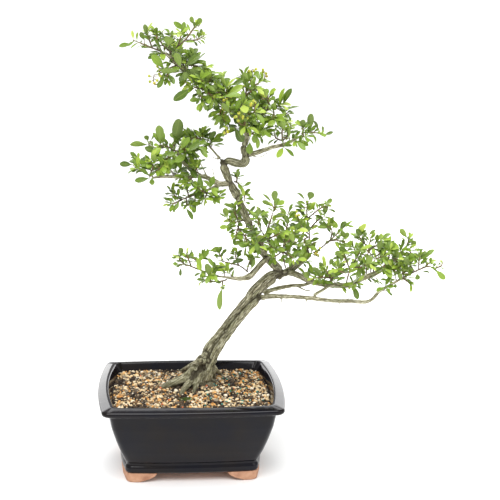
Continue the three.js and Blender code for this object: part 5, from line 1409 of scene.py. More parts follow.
def maths(tree, operation, *values):
    made = node(tree, "ShaderNodeMath", operation=operation)
    for socket, value in zip(made.inputs, values):
        feed(tree, socket, value)
    return made.outputs["Value"]


def mixed(tree, factor, first, second, blend="MIX"):
    made = node(tree, "ShaderNodeMix", data_type="RGBA", blend_type=blend)
    for index, value in ((0, factor), (6, first), (7, second)):
        feed(tree, made.inputs[index], value)
    return made.outputs[2]


def attribute(tree, name, output="Fac"):
    return node(tree, "ShaderNodeAttribute", attribute_name=name).outputs[output]


def bumped(tree, shader, height, distance, strength):
    made = node(tree, "ShaderNodeBump")
    for key, value in (("Strength", strength), ("Distance", distance), ("Height", height)):
        feed(tree, made.inputs[key], value)
    feed(tree, shader.inputs["Normal"], made.outputs["Normal"])


def set_finish(tree, shader, colour, roughness, specular=0.5):
    feed(tree, shader.inputs["Base Color"], colour)
    feed(tree, shader.inputs["Roughness"], roughness)
    feed(tree, shader.inputs["Specular IOR Level"], specular)


def plain(name, colour, roughness, specular=0.5):
    entry, tree, shader = principled(name)
    set_finish(tree, shader, colour, roughness, specular)
    return entry


def clouded(name, cloud, stops, roughness, specular, bumps, height, strength):
    """A finish with clouds of colour and fine bumps, each from noise of a scale and a detail."""
    entry, tree, shader = principled(name)
    set_finish(tree, shader, ramp(tree, noise_of(tree, *cloud), stops), roughness, specular)
    bumped(tree, shader, noise_of(tree, *bumps), height, strength)
    return entry


LEAF_TONES = [
    (0.0, 0.036, 0.078, 0.009), (0.3, 0.11, 0.20, 0.018), (0.55, 0.215, 0.345, 0.032),
    (0.8, 0.37, 0.52, 0.055), (1.0, 0.56, 0.68, 0.13),
]
LEAF_BLOTCH = (0.19, 0.29, 0.025)
LEAF_VEIN = (0.42, 0.50, 0.12)
LEAF_BELOW = (0.26, 0.34, 0.11)
RIB_SHARPNESS = 9
SIDE_VEINS = 7


def leaf_material(name, under):
    """Green by tone, with a pale midrib, slanting side veins and blotches."""
    entry, tree, shader = principled(name)
    axes = node(tree, "ShaderNodeSeparateXYZ")
    feed(tree, axes.inputs["Vector"], node(tree, "ShaderNodeUVMap", uv_map="blade").outputs["UV"])
    out = maths(tree, "ABSOLUTE", axes.outputs["Y"])
    rib = maths(tree, "SMOOTH_MIN", maths(tree, "MULTIPLY", out, RIB_SHARPNESS), 1, 0.2)
    veins_along = maths(tree, "MULTIPLY", axes.outputs["X"], SIDE_VEINS)
    slant = maths(tree, "SUBTRACT", veins_along, maths(tree, "MULTIPLY", out, 1.6))
    wave = maths(tree, "SINE", maths(tree, "MULTIPLY", slant, math.tau))
    vein = maths(tree, "MULTIPLY", maths(tree, "POWER", maths(tree, "ABSOLUTE", wave), 10), 0.35)
    lines = maths(tree, "MAXIMUM", maths(tree, "SUBTRACT", 1, rib), vein)
    lines = maths(tree, "MINIMUM", maths(tree, "MAXIMUM", lines, 0), 1)
    colour = ramp(tree, attribute(tree, "tone"), LEAF_TONES)
    blotches = maths(tree, "MULTIPLY", noise_of(tree, scale=260, detail=3), 0.4)
    colour = mixed(tree, blotches, colour, LEAF_BLOTCH)
    colour = mixed(tree, maths(tree, "MULTIPLY", lines, 0.45), colour, LEAF_VEIN)
    if under:
        colour = mixed(tree, 0.5, colour, LEAF_BELOW)
    set_finish(tree, shader, colour, roughness=0.55 if under else 0.3, specular=0.2 if under else 0.4)
    bumped(tree, shader, lines, distance=0.0002, strength=0.5)
    return entry


TWIG_TONES = [
    (0.0, 0.16, 0.14, 0.085), (0.4, 0.17, 0.12, 0.06), (0.7, 0.25, 0.15, 0.05), (1.0, 0.24, 0.27, 0.07),
]


def twig_material():
    entry, tree, shader = principled("twig")
    colour = ramp(tree, attribute(tree, "tone"), TWIG_TONES)
    speckle = ramp(tree, noise_of(tree, scale=900, detail=3), [(0.35, 0.5, 0.5, 0.5), (0.65, 1, 1, 1)])
    set_finish(tree, shader, mixed(tree, 1.0, colour, speckle, "MULTIPLY"), roughness=0.55)
    return entry


BARK_TONES = [
    (0.33, 0.05, 0.042, 0.024), (0.44, 0.22, 0.20, 0.115), (0.53, 0.48, 0.45, 0.29), (0.62, 0.84, 0.82, 0.62),
]
BARK_GREEN = (0.20, 0.215, 0.10)
# Dark of the bark's grooves, also used as painted shade in creases and hollows and for the darkening near the
# ground
BARK_GROOVE_AND_SHADE = (0.04, 0.032, 0.019)


def bark_material():
    """Pale bark along the grain, greenish in patches, dark in its grooves and darker near the ground, with
    painted shade in the creases between limbs and in the hollows between the roots.
    """
    entry, tree, shader = principled("bark")
    grain = attribute(tree, "grain", "Vector")
    fine = noise_of(tree, scale=1.6, detail=6, vector=grain, rough=0.7)
    broad = noise_of(tree, scale=0.35, detail=3, vector=grain)
    green = ramp(tree, broad, [(0.4, 0, 0, 0), (0.7, 0.5, 0.5, 0.5)])
    colour = mixed(tree, green, ramp(tree, fine, BARK_TONES), BARK_GREEN)
    grooves_and_shade = maths(tree, "MULTIPLY", attribute(tree, "groove_and_shade"), 0.93)
    set_finish(tree, shader, mixed(tree, grooves_and_shade, colour, BARK_GROOVE_AND_SHADE), roughness=0.8, specular=0.25)
    bumped(tree, shader, fine, distance=0.0007, strength=0.7)
    return entry


BERRY_TONES = [
    (0.0, 0.34, 0.42, 0.04), (0.5, 0.56, 0.56, 0.05), (0.8, 0.62, 0.42, 0.04), (1.0, 0.55, 0.06, 0.02),
]


def berry_material():
    entry, tree, shader = principled("berry")
    set_finish(tree, shader, ramp(tree, attribute(tree, "tone"), BERRY_TONES), roughness=0.3)
    return entry


GRIT_FLECKS = [(0.3, 0.62, 0.6, 0.58), (0.7, 1.15, 1.12, 1.08)]


def grit_material():
    """Each grain's own tint, flecked."""
    entry, tree, shader = principled("grit")
    tint = attribute(tree, "tint", "Color")
    fleck = ramp(tree, noise_of(tree, scale=1500, detail=4), GRIT_FLECKS)
    set_finish(tree, shader, mixed(tree, 1.0, tint, fleck, "MULTIPLY"), roughness=0.85, specular=0.25)
    bumped(tree, shader, noise_of(tree, scale=2200, detail=3), distance=0.0003, strength=0.6)
    return entry


GLAZE_TONES = [(0.35, 0.003, 0.003, 0.007), (0.65, 0.008, 0.0055, 0.005)]
CLAY_TONES = [(0.3, 0.36, 0.17, 0.10), (0.55, 0.52, 0.28, 0.17), (0.8, 0.62, 0.38, 0.25)]
# Soil colours, darkened further as painted shade for the gaps between the grains
SOIL_AND_SHADE_TONES = [(0.35, 0.010, 0.007, 0.005), (0.55, 0.035, 0.024, 0.016), (0.7, 0.10, 0.07, 0.045)]

leaf_top = leaf_material("leaf_top", False)
leaf_under = leaf_material("leaf_under", True)
twig = twig_material()
bark = bark_material()
berry_skin = berry_material()
calyx = plain("calyx", (0.09, 0.05, 0.02), roughness=0.8)
grit_stone = grit_material()
glaze = clouded(
    "glaze", cloud=(28, 4), stops=GLAZE_TONES, roughness=0.1, specular=0.25,
    bumps=(45, 2), height=0.0012, strength=0.12,
)
clay = clouded(
    "bare_clay", cloud=(90, 5), stops=CLAY_TONES, roughness=0.85, specular=0.5,
    bumps=(700, 4), height=0.0004, strength=0.5,
)
# Soil finish, with painted shade for the gaps between the grains
soil_and_shade = clouded(
    "soil", cloud=(420, 5), stops=SOIL_AND_SHADE_TONES, roughness=0.95, specular=0.5,
    bumps=(800, 4), height=0.0008, strength=0.8,
)
LEAFY = [leaf_top, leaf_under, twig]


# Sprays and spurs

FOOT_SWELL = 1.05
FINE_TIP = 0.55
BUD_WAVE = 0.1
BUD_PACE = 1.9


def make_spray(name, order):
    shape = Shape()
    draw = draws_from(1200 + order)
    for stem in stems_of[name]:
        if stem is None:
            continue
        stations = list(stem)
        stations[0] = (stem[0][0], TWIG_RADIUS * FOOT_SWELL)
        stations[-1] = (stem[-1][0], TWIG_RADIUS * FINE_TIP)
        places, radii = smooth_chain(stations, spacing=2.2)
        radii = radii * (1 + BUD_WAVE * np.sin(np.arange(len(radii)) * BUD_PACE + order))
        tones = np.linspace(0.15, 0.95, len(places))
        add_tube(shape, places, radii, sides=8, slot=STEM_SLOT, tone=tones)
    for leaf in leaves_of[name]:
        add_blade(shape, leaf, draw)
    dress(shape.make(f"fine_{name}", LEAFY), "foliage", f"spray_{name}")


def make_spurs(limb, order):
    shape = Shape()
    draw = draws_from(1700 + order)
    for stem, leaves in spurs[limb]:
        add_tube(shape, *smooth_chain(stem, spacing=2), sides=7, slot=STEM_SLOT, tone=0.35)
        for leaf in leaves:
            add_blade(shape, leaf, draw)
    dress(shape.make(f"spurs_{limb}", LEAFY), "foliage")


for order, name in enumerate(SPRAYS):
    make_spray(name, order)
for order, limb in enumerate(spurs):
    make_spurs(limb, order)


# Berries

BERRY_STEPS = 12
# Height and reach from the stalk's end to the dried flower, which begins at the calyx row
BERRY_PROFILE = [
    (-1.0, 0.16), (-0.93, 0.42), (-0.7, 0.76), (-0.3, 0.98), (0.1, 1.0), (0.5, 0.86), (0.78, 0.58),
    (0.9, 0.34), (0.84, 0.2), (0.98, 0.24), (0.93, 0.1),
]
CALYX_ROW = 7
BERRY_FLAT = 0.94


def add_berry(shape, foot, place, tone):
    """A berry with the dried end of its flower, on a stalk from its foot."""
    way = unit(place - foot)
    across = unit(np.cross(way, np.array([0.3, 0.9, 0.1])))
    over = np.cross(way, across)
    turns = np.arange(BERRY_STEPS) / BERRY_STEPS * math.tau
    points = []
    for height, reach in BERRY_PROFILE:
        middle = place + way * (height * BERRY_RADIUS * BERRY_FLAT)
        radius = reach * BERRY_RADIUS
        points.extend(middle + radius * (math.cos(t) * across + math.sin(t) * over) for t in turns)
    points.append(place - way * BERRY_RADIUS)
    points.append(place + way * BERRY_RADIUS * 0.86)
    walls = wall_faces(len(BERRY_PROFILE), BERRY_STEPS)
    slots = [1 if index >= CALYX_ROW * BERRY_STEPS else 0 for index in range(len(walls))]
    faces = walls + end_faces(len(BERRY_PROFILE), BERRY_STEPS)
    shape.add(points, faces, slots + [0, 1] * BERRY_STEPS, None, tone)
    stalk = [(foot, 0.42), (place - way * BERRY_RADIUS * 0.8, 0.4)]
    add_tube(shape, *smooth_chain(stalk, spacing=2), sides=6, slot=STEM_SLOT, tone=0.9)


def make_berries(name, bunch, seed, *nodes):
    """Berries on short stalks along a stem from the nearest stem or limb."""
    foot, tip, berries = bunch
    shape = Shape()
    draw = draws_from(seed)
    chains = [stem for stems in stems_of.values() for stem in stems if stem]
    root = nearest_of(chains + [wood_stations[limb] for limb in LIMBS], foot)[1]
    bend = (root + foot) / 2 + np.array([0, 0, -1.5])
    stem = [(root, 0.75), (bend, 0.7), (foot, 0.65), (tip, 0.55)]
    add_tube(shape, *smooth_chain(stem, spacing=2), sides=7, slot=STEM_SLOT, tone=0.6)
    for index, place in enumerate(berries):
        share = 0.3 + (0.68 * index) / max(len(berries) - 1, 1)
        add_berry(shape, foot + (tip - foot) * share, place, draw() * 0.7)
    dress(shape.make(name, [berry_skin, calyx, twig]), "berries", *nodes)


for index, (name, bunch) in enumerate(bunches.items()):
    make_berries(f"fine_{name}", bunch, 900 + index, name)

for index, row in enumerate(LOOSE_BERRIES):
    bunch = bunch_of(row, 930 + index)
    if bunch[2]:
        make_berries(f"loose_berries_{index}", bunch, 960 + index)
        segments.add([(bunch[0], 1), (bunch[1], 1)], f"loose_{index}")


# Wood

WOOD_SPACING = 1.5
WOOD_VOXEL = 0.97
SKIN_EASE = 3
LIMB_STEPS = 14
LIMB_SWELL = 0.13
NEAR_SAMPLES = 36
TRUNK_RADIUS = 6
CREASE_RADIUS = 4.2
CREASE_WIDTH = 1.9
CREASE_DEPTH = 2.2
ROOT_ZONE = 32
ROOT_CREASE = 0.45
# Darker towards the ground: how high above it this reaches, and how strongly
DARK_BASE_HEIGHT = 17
DARK_BASE = 0.85
# How fast the bark's patterns change along a limb and round it, with an offset for each limb
GRAIN = (0.09, 0.42, 7.3)
FLUTE = (0.012, 1.3, 3.1)
RIDGE = (0.055, 0.42, 5.7)
CRACK = (0.16, 0.95, 2.3)
# Hollows between the roots, pushed in and painted dark as shade: picture point, radius and depth
HOLLOWS = [(201, 369, 6.4, 2.4), (198.5, 370.8, 7.2, 2.8), (195.5, 373, 7.2, 2.8), (192.5, 375.5, 6, 2)]
SEEN_WITHIN = 2.5
SWELL_PACE = 0.07
RIDGE_SHARPNESS = 4.2
CRACK_SHARPNESS = 3.6
RIDGE_DARK = 0.75
CRACK_DARK = 0.45
FLUTE_DEPTH = 0.2
RIDGE_DEPTH = 0.85
CRACK_DEPTH = 0.3
BARK_LIFT = 0.25
# Share of a twig's radius at its first point, and how much less at each one after it
TAPER_START = 0.85
TAPER_STEP = 0.3


def seen_from_front(places, across, down):
    """The place of a surface that the viewer of the picture sees at a picture point."""
    ray = ray_through(across, down)
    ray = ray / np.linalg.norm(ray)
    reach = (places - VIEWER) @ ray
    off = np.linalg.norm(places - VIEWER - reach[:, None] * ray, axis=1)
    near = np.where(off < SEEN_WITHIN)[0]
    return places[near[np.argmin(reach[near])]]


def limb_chain(name, stations):
    """A limb's smooth chain, with slow swellings."""
    places, radii = smooth_chain(stations, WOOD_SPACING)
    seed = len(name) * 1.7 + stations[0][0][0] * 0.13
    swell = [noise_at(index * WOOD_SPACING * SWELL_PACE, seed, 0) for index in range(len(radii))]
    return places, radii * (1 + LIMB_SWELL * np.array(swell))


def bare_twig(limb, radius, *points):
    wanted = [spot(point) for point in points]
    stations = [(nearest_on(wood_stations[limb], wanted[0])[1], radius)]
    for step, place in enumerate(wanted[1:]):
        stations.append((place, radius * (TAPER_START - TAPER_STEP * step)))
    return smooth_chain(stations, WOOD_SPACING)


def surface_root(radius, start, *ground):
    """A root that leaves the trunk, sinks into the grit and ends below it."""
    stations = [(spot(start), radius * 1.2)]
    for step, point in enumerate(ground):
        place = ground_spot(*point)
        place[2] = ground_height(place[0], place[1]) + radius * (0.3 - 0.75 * step)
        stations.append((place, radius * (TAPER_START - TAPER_STEP * step)))
    out = stations[-1][0] - stations[-2][0]
    stations.append((stations[-1][0] + out * 0.4 + np.array([0, 0, -5]), radius * 0.3))
    return smooth_chain(stations, WOOD_SPACING)


def knot(limb, across, down, depth, radius):
    middle = spot([across, down, depth])
    inner = nearest_on(wood_stations[limb], middle)[1]
    way = unit(middle - inner + np.array([0, -2.0, 0.5]))
    return smooth_chain([(inner, radius), (inner + way * radius * 1.9, radius * 0.75)], WOOD_SPACING)


def remeshed(shape, voxel, smooth_rounds):
    """The shape's closed pieces joined into one skin of even faces, in mm."""
    thing = placed("skin", mesh_of("skin", np.concatenate(shape.places), shape.faces))
    step = thing.modifiers.new("remesh", "REMESH")
    step.mode = "VOXEL"
    step.voxel_size = voxel
    step.adaptivity = 0
    ease = thing.modifiers.new("ease", "SMOOTH")
    ease.factor = 0.5
    ease.iterations = smooth_rounds
    whole = thing.evaluated_get(bpy.context.evaluated_depsgraph_get())
    made = whole.to_mesh()
    places, normals = np.empty(len(made.vertices) * 3), np.empty(len(made.vertices) * 3)
    made.vertices.foreach_get("co", places)
    made.vertices.foreach_get("normal", normals)
    faces = [tuple(face.vertices) for face in made.polygons]
    whole.to_mesh_clear()
    bpy.data.objects.remove(thing)
    return places.reshape(-1, 3), normals.reshape(-1, 3), faces


def samples_of(chains):
    """Every place of every chain, with its radius, its frame, the length up to it and its limb's number."""
    samples = []
    for limb, (places, radii) in enumerate(chains):
        travelled = 0
        for index, (place, radius, frame_here) in enumerate(zip(places, radii, frames_along(places))):
            if index:
                travelled += np.linalg.norm(place - places[index - 1])
            samples.append((place, radius, frame_here, travelled, limb))
    return samples


def bark_noise(pattern, travelled, limb, round_x, round_y):
    along, across, offset = pattern
    return noise_at(travelled * along + limb * offset, round_x * across, round_y * across)


def bark_at(place, tree, samples):
    """The grain's coordinates, the darkness from 0 to 1 of its grooves, of painted shade in creases and of
    the darkening near the ground, and the shift of the skin at a place.
    """
    found = tree.find_n(place, NEAR_SAMPLES)
    gaps = [(distance - samples[number][1], number) for _, number, distance in found]
    gap, number = min(gaps, key=lambda entry: entry[0])
    centre, radius, (_, across, over), travelled, limb = samples[number]
    out = place - centre
    reach = max(np.linalg.norm(out), 1e-6)
    u, v = out @ across / reach, out @ over / reach
    grain = (travelled * GRAIN[0] + limb * GRAIN[2], u * radius * GRAIN[1], v * radius * GRAIN[1])
    flute = bark_noise(FLUTE, travelled, limb, u, v)
    ridge = abs(bark_noise(RIDGE, travelled, limb, u * radius, v * radius))
    ridge = 1 - min(ridge * RIDGE_SHARPNESS, 1)
    crack = abs(bark_noise(CRACK, travelled, limb, u * radius, v * radius))
    crack = 1 - min(crack * CRACK_SHARPNESS, 1)
    weight = min(radius / TRUNK_RADIUS, 1)
    groove_and_shade = min(ridge * RIDGE_DARK * weight + crack * CRACK_DARK * weight, 1)
    shift = flute * radius * FLUTE_DEPTH - weight * (ridge * RIDGE_DEPTH + crack * CRACK_DEPTH)
    shift += BARK_LIFT * weight
    above = place[2] - ground_height(place[0], place[1])
    others = [other - gap for other, number in gaps if samples[number][4] != limb]
    # Painted shade: where two thick limbs meet, the crease is darkened as well as pushed in
    if others and radius > CREASE_RADIUS:
        crease = math.exp(-((min(others) / CREASE_WIDTH) ** 2)) * (ROOT_CREASE if above < ROOT_ZONE else 1)
        groove_and_shade = max(groove_and_shade, crease)
        shift -= crease * CREASE_DEPTH
    # Darker towards the ground, over the lowest stretch above it
    dark_base = min(max(1 - above / DARK_BASE_HEIGHT, 0), 1) * DARK_BASE
    return grain, max(groove_and_shade, dark_base), shift


def make_wood():
    """All limbs as one skin, creased where two of them meet and grooved as bark, with painted shade in the
    creases and in the hollows between the roots.
    """
    chains = [limb_chain(name, stations) for name, stations in wood_stations.items()]
    chains += [bare_twig(*row) for row in BARE_TWIGS]
    chains += [surface_root(*row) for row in SURFACE_ROOTS]
    chains += [knot(*row) for row in KNOTS]
    rough = Shape()
    for places, radii in chains:
        add_tube(rough, places, radii, LIMB_STEPS)
    places, normals, faces = remeshed(rough, WOOD_VOXEL, SKIN_EASE)
    samples = samples_of(chains)
    tree = kdtree.KDTree(len(samples))
    for index, sample in enumerate(samples):
        tree.insert(sample[0], index)
    tree.balance()
    rows = [bark_at(place, tree, samples) for place in places]
    grains, grooves_and_shade, shifts = (np.array(column) for column in zip(*rows))
    for across, down, radius, depth in HOLLOWS:
        middle = seen_from_front(places, across, down)
        away = np.linalg.norm(places - middle, axis=1) / radius
        dip = np.clip(1 - away * away, 0, 1)
        shifts -= dip * depth
        # Painted shade: the hollows are darkened as well as pushed in
        grooves_and_shade = np.maximum(grooves_and_shade, np.minimum(dip * 2, 1))
    shape = Shape()
    shape.add(places + normals * shifts[:, None], faces)
    thing = shape.make("fine_wood", [bark])
    give_attribute(thing.data, "grain", "FLOAT_VECTOR", "vector", grains)
    give_attribute(thing.data, "groove_and_shade", "FLOAT", "value", grooves_and_shade)
    dress(thing, "bark", "wood")


make_wood()


# Pot

SIDE_STEPS = 14
CORNER_STEPS = 9
PROFILE_EASE = 2.2
FOOT_EASE = 0.8
SHARP_ANGLE = 38
DRAIN_STEPS = 32
DRAIN_BOTTOM = 5
DRAIN_TOP = 25
# Inset and height up the outside, over the rim and down the inside to the floor
POT_PROFILE = [
    (32, FOOT_HEIGHT), (30, 15), (30, 21), (32, 24), (32, 27), (30, 29.5), (24, 45), (18.5, 62),
    (13, 82), (10.5, 97), (10, 101), (1, 105), (0, 108.5), (1.5, 111.4), (11, POT_HEIGHT),
    (14, POT_HEIGHT), (16, 110.5), (19.5, 104), (30, 60), (38, FLOOR_TOP),
]
FOOT_PROFILE = [(FOOT_INSET + 1, 0), (FOOT_INSET, 1), (FOOT_INSET, FOOT_HEIGHT)]


def outline(inset, height, side_steps=SIDE_STEPS, corner_steps=CORNER_STEPS):
    """The pot's outline at one level: four bowed sides and four round corners."""
    half_width = RIM_WIDTH / 2 - inset
    half_depth = RIM_DEPTH / 2 - inset
    corner_x = half_width - SHORT_SIDE_BOW - CORNER_RADIUS
    corner_y = half_depth - LONG_SIDE_BOW - CORNER_RADIUS
    quarter = []
    for step in range(side_steps):
        along = step / side_steps
        quarter.append((half_width - SHORT_SIDE_BOW * along * along, corner_y * along))
    for step in range(corner_steps + 1):
        turn = step / corner_steps * math.pi / 2
        quarter.append((corner_x + CORNER_RADIUS * math.cos(turn), corner_y + CORNER_RADIUS * math.sin(turn)))
    for step in range(side_steps - 1, 0, -1):
        along = step / side_steps
        quarter.append((corner_x * along, half_depth - LONG_SIDE_BOW * along * along))
    top = [*quarter, (0, half_depth), *[(-x, y) for x, y in reversed(quarter[1:])], (-half_width, 0)]
    bottom = [(x, -y) for x, y in reversed(top[1:-1])]
    return [(x, y, height) for x, y in [*top, *bottom]]


def rounded(profile, radius, steps=4):
    """A profile with each inner corner eased by a short curve."""
    profile = [np.array(point, dtype=float) for point in profile]
    points = [profile[0]]
    for before, here, after in zip(profile, profile[1:], profile[2:]):
        back, ahead = before - here, after - here
        cut_back = min(radius, np.linalg.norm(back) * 0.45, np.linalg.norm(ahead) * 0.45)
        start, end = here + unit(back) * cut_back, here + unit(ahead) * cut_back
        for step in range(steps + 1):
            t = step / steps
            points.append(start * (1 - t) ** 2 + here * (2 * t * (1 - t)) + end * t * t)
    return [*points, profile[-1]]


def loft(rings, name):
    """Closed rings of equal length joined into one closed object, in mm."""
    count = len(rings[0])
    faces = wall_faces(len(rings), count)
    faces.append(tuple(range(count - 1, -1, -1)))
    faces.append(tuple((len(rings) - 1) * count + step for step in range(count)))
    return placed(name, mesh_of(name, [point for ring in rings for point in ring], faces))


def foot_gap(floor_half, top_half, length, turned):
    """A prism of a trapezoid with an arched top, wide at the floor, through the pot's foot."""
    right = [(floor_half, -1), (floor_half, 1.5), (floor_half - 6, 3.2)]
    right += [(top_half + 10, 5), (top_half + 3, 9), (top_half, FOOT_HEIGHT)]
    left = [(-x, z) for x, z in reversed(right)]
    rings = []
    for end in (length / 2, -length / 2):
        ring = [(x, end, z) for x, z in (left[-1], *right, *left[:-1])]
        rings.append([(-y, x, z) for x, y, z in ring] if turned else ring)
    return loft(rings, "gap")


def drain(side):
    """A plug that cuts one drain hole through the floor."""
    turns = [step / DRAIN_STEPS * math.tau for step in range(DRAIN_STEPS)]
    middle = side * DRAIN_SPACING / 2
    ring = [(middle + DRAIN_RADIUS * math.cos(t), DRAIN_RADIUS * math.sin(t)) for t in turns]
    return loft([[(x, y, height) for x, y in ring] for height in (DRAIN_BOTTOM, DRAIN_TOP)], "drain")


def cut(thing, *cutters):
    for cutter in cutters:
        step = thing.modifiers.new("cut", "BOOLEAN")
        step.operation = "DIFFERENCE"
        step.solver = "EXACT"
        step.object = cutter
    whole = thing.evaluated_get(bpy.context.evaluated_depsgraph_get())
    made = bpy.data.meshes.new_from_object(whole)
    for other in (thing, *cutters):
        bpy.data.objects.remove(other)
    return made


def make_pot():
    """Glazed walls and floor with drain holes, on bare clay feet with a gap in each side."""
    body = loft([outline(inset, height) for inset, height in rounded(POT_PROFILE, PROFILE_EASE)], "pot_body")
    body_mesh = cut(body, drain(-1), drain(1))
    foot = loft([outline(inset, height) for inset, height in rounded(FOOT_PROFILE, FOOT_EASE)], "foot")
    inner = FOOT_INSET + FOOT_WALL
    well = loft([outline(inner, -1), outline(inner, FOOT_HEIGHT + 1)], "well")
    front_gap = foot_gap(FRONT_GAP_FLOOR, FRONT_GAP_TOP, RIM_DEPTH, False)
    side_gap = foot_gap(SIDE_GAP_FLOOR, SIDE_GAP_TOP, RIM_WIDTH, True)
    foot_mesh = cut(foot, well, front_gap, side_gap)
    whole = bmesh.new()
    whole.from_mesh(body_mesh)
    whole.from_mesh(foot_mesh)
    bmesh.ops.recalc_face_normals(whole, faces=whole.faces)
    for face in whole.faces:
        middle = face.calc_center_median()
        face.smooth = True
        bare = middle.z < FOOT_HEIGHT + 0.2 or (middle.z < FLOOR_TOP + 0.5 and abs(face.normal.z) > 0.9)
        face.material_index = 1 if bare else 0
    mesh = bpy.data.meshes.new("fine_pot")
    whole.transform(Matrix.Translation(POT_MIDDLE) @ Matrix.Scale(MM, 4))
    whole.to_mesh(mesh)
    whole.free()
    mesh.materials.append(glaze)
    mesh.materials.append(clay)
    mesh.set_sharp_from_angle(angle=math.radians(SHARP_ANGLE))
    dress(placed("fine_pot", mesh), "glaze", "pot")


make_pot()


# Soil, grit, feed pellets and moss

BED_RINGS = 60
BED_INSET = 19.8
BED_BELOW = 1.7
BED_ROUGHNESS = 0.9
# The inner wall's inset at the height of 102 mm, which the grains keep to
GRIT_INSET = 19.5 + (104 - 102) * 10.5 / 44
GRAIN_PITCH = 3.3
ROW_PITCH = 0.87
GRAIN_JITTER = 1.7
COARSE_SIZE = 0.56
LARGEST_SIZE = 0.93
GRAIN_RADIUS = 1.1
GRAIN_GROWTH = 1.35
LARGEST_EXTRA = 0.6
GRAIN_SINK = 1.1
GRAIN_LIFT = 1.3
GRAIN_FLATS = 5
# Share of dark grains: at least, at the trunk, how far it takes to fade, and in patches
DARK_LEAST = 0.1
DARK_AT_TRUNK = 0.95
DARK_FADE = 50
DARK_PATCH = 2.1
GRAIN_TINTS = [
    (0.72, 0.54, 0.31), (0.82, 0.66, 0.42), (0.52, 0.34, 0.16), (0.90, 0.77, 0.54), (0.60, 0.29, 0.09),
    (0.32, 0.28, 0.21), (0.13, 0.11, 0.085), (0.92, 0.84, 0.68), (0.20, 0.115, 0.055), (0.80, 0.45, 0.16),
    (0.44, 0.33, 0.19), (0.80, 0.64, 0.39), (0.07, 0.055, 0.04),
]
DARK_TINTS = [(0.06, 0.042, 0.028), (0.11, 0.075, 0.045), (0.035, 0.026, 0.02)]
# Name, colour, how many, how far left and right they lie, seed
PELLETS = [
    ("green_pellets", (0.05, 0.22, 0.17), 34, 15, 100, 57),
    ("orange_pellets", (0.55, 0.12, 0.03), 9, -70, 100, 58),
]
PELLETS_DEEP = 150
# Picture point and spread of each cushion of moss
MOSS_SPOTS = [(186, 399.5, 9), (231, 392, 4), (160, 383, 3)]
SHOOTS_PER_SQUARE = 5
SHOOT_RADIUS = 0.38


def inside_pot(x, y, margin):
    """True if a place on the grit is more than a margin from the pot's wall."""
    width, depth = RIM_WIDTH / 2 - GRIT_INSET, RIM_DEPTH / 2 - GRIT_INSET
    width -= SHORT_SIDE_BOW * (y / depth) ** 2 + margin
    depth -= LONG_SIDE_BOW * (x / width) ** 2 + margin
    if abs(x) > width or abs(y) > depth:
        return False
    corner_x, corner_y = abs(x) - (width - CORNER_RADIUS), abs(y) - (depth - CORNER_RADIUS)
    return corner_x < 0 or corner_y < 0 or math.hypot(corner_x, corner_y) < CORNER_RADIUS


def make_bed():
    """The dark mix between the grains, out to the pot's wall, darkened further as painted shade in the gaps
    between them.
    """
    rim = np.array(outline(BED_INSET, 0, 10, 5))[:, :2]
    count = len(rim)
    flat = np.vstack([[[0, 0]], *[rim * (ring / BED_RINGS) for ring in range(1, BED_RINGS + 1)]])
    points = []
    for x, y in flat:
        rough = noise_at(x * 0.35, y * 0.35, 3) * BED_ROUGHNESS
        points.append((x, y, ground_height(x, y) - BED_BELOW + rough))
    faces = [(0, 1 + step, 1 + (step + 1) % count) for step in range(count)]
    for a, b, c, d in wall_faces(BED_RINGS, count):
        faces.append((1 + a, 1 + d, 1 + c, 1 + b))
    shape = Shape()
    shape.add(points, faces)
    dress(shape.make("soil_and_shade_bed", [soil_and_shade]), "soil", "grit")


def ball(steps):
    """Points and faces of an even ball of radius 1."""
    shape = bmesh.new()
    bmesh.ops.create_icosphere(shape, subdivisions=steps, radius=1)
    points = np.array([point.co[:] for point in shape.verts])
    faces = [tuple(point.index for point in face.verts) for face in shape.faces]
    shape.free()
    return points, faces


PLAIN_BALL = ball(1)
FINE_BALL = ball(2)


def add_grain(shape, place, radius, draw, points, faces):
    """A rounded crumb of stone with its own squash, turn and flat places."""
    squash = np.array([1.0 + draw() * 0.35, 0.8 + draw() * 0.3, 0.6 + draw() * 0.3])
    bumps = np.ones(len(points))
    for _ in range(GRAIN_FLATS):
        way = unit(np.array([draw() - 0.5, draw() - 0.5, draw() - 0.5]))
        level = 0.62 + draw() * 0.25
        reach = points @ way
        bumps = np.where(reach > level, np.minimum(bumps, level / np.maximum(reach, 1e-6)), bumps)
    crumb = points * bumps[:, None] * squash * radius
    turn = draw() * math.tau
    lean = (draw() - 0.5) * 1.2
    spin = np.array(Matrix.Rotation(turn, 3, "Z") @ Matrix.Rotation(lean, 3, "X"))
    shape.add(crumb @ spin.T + place, faces)


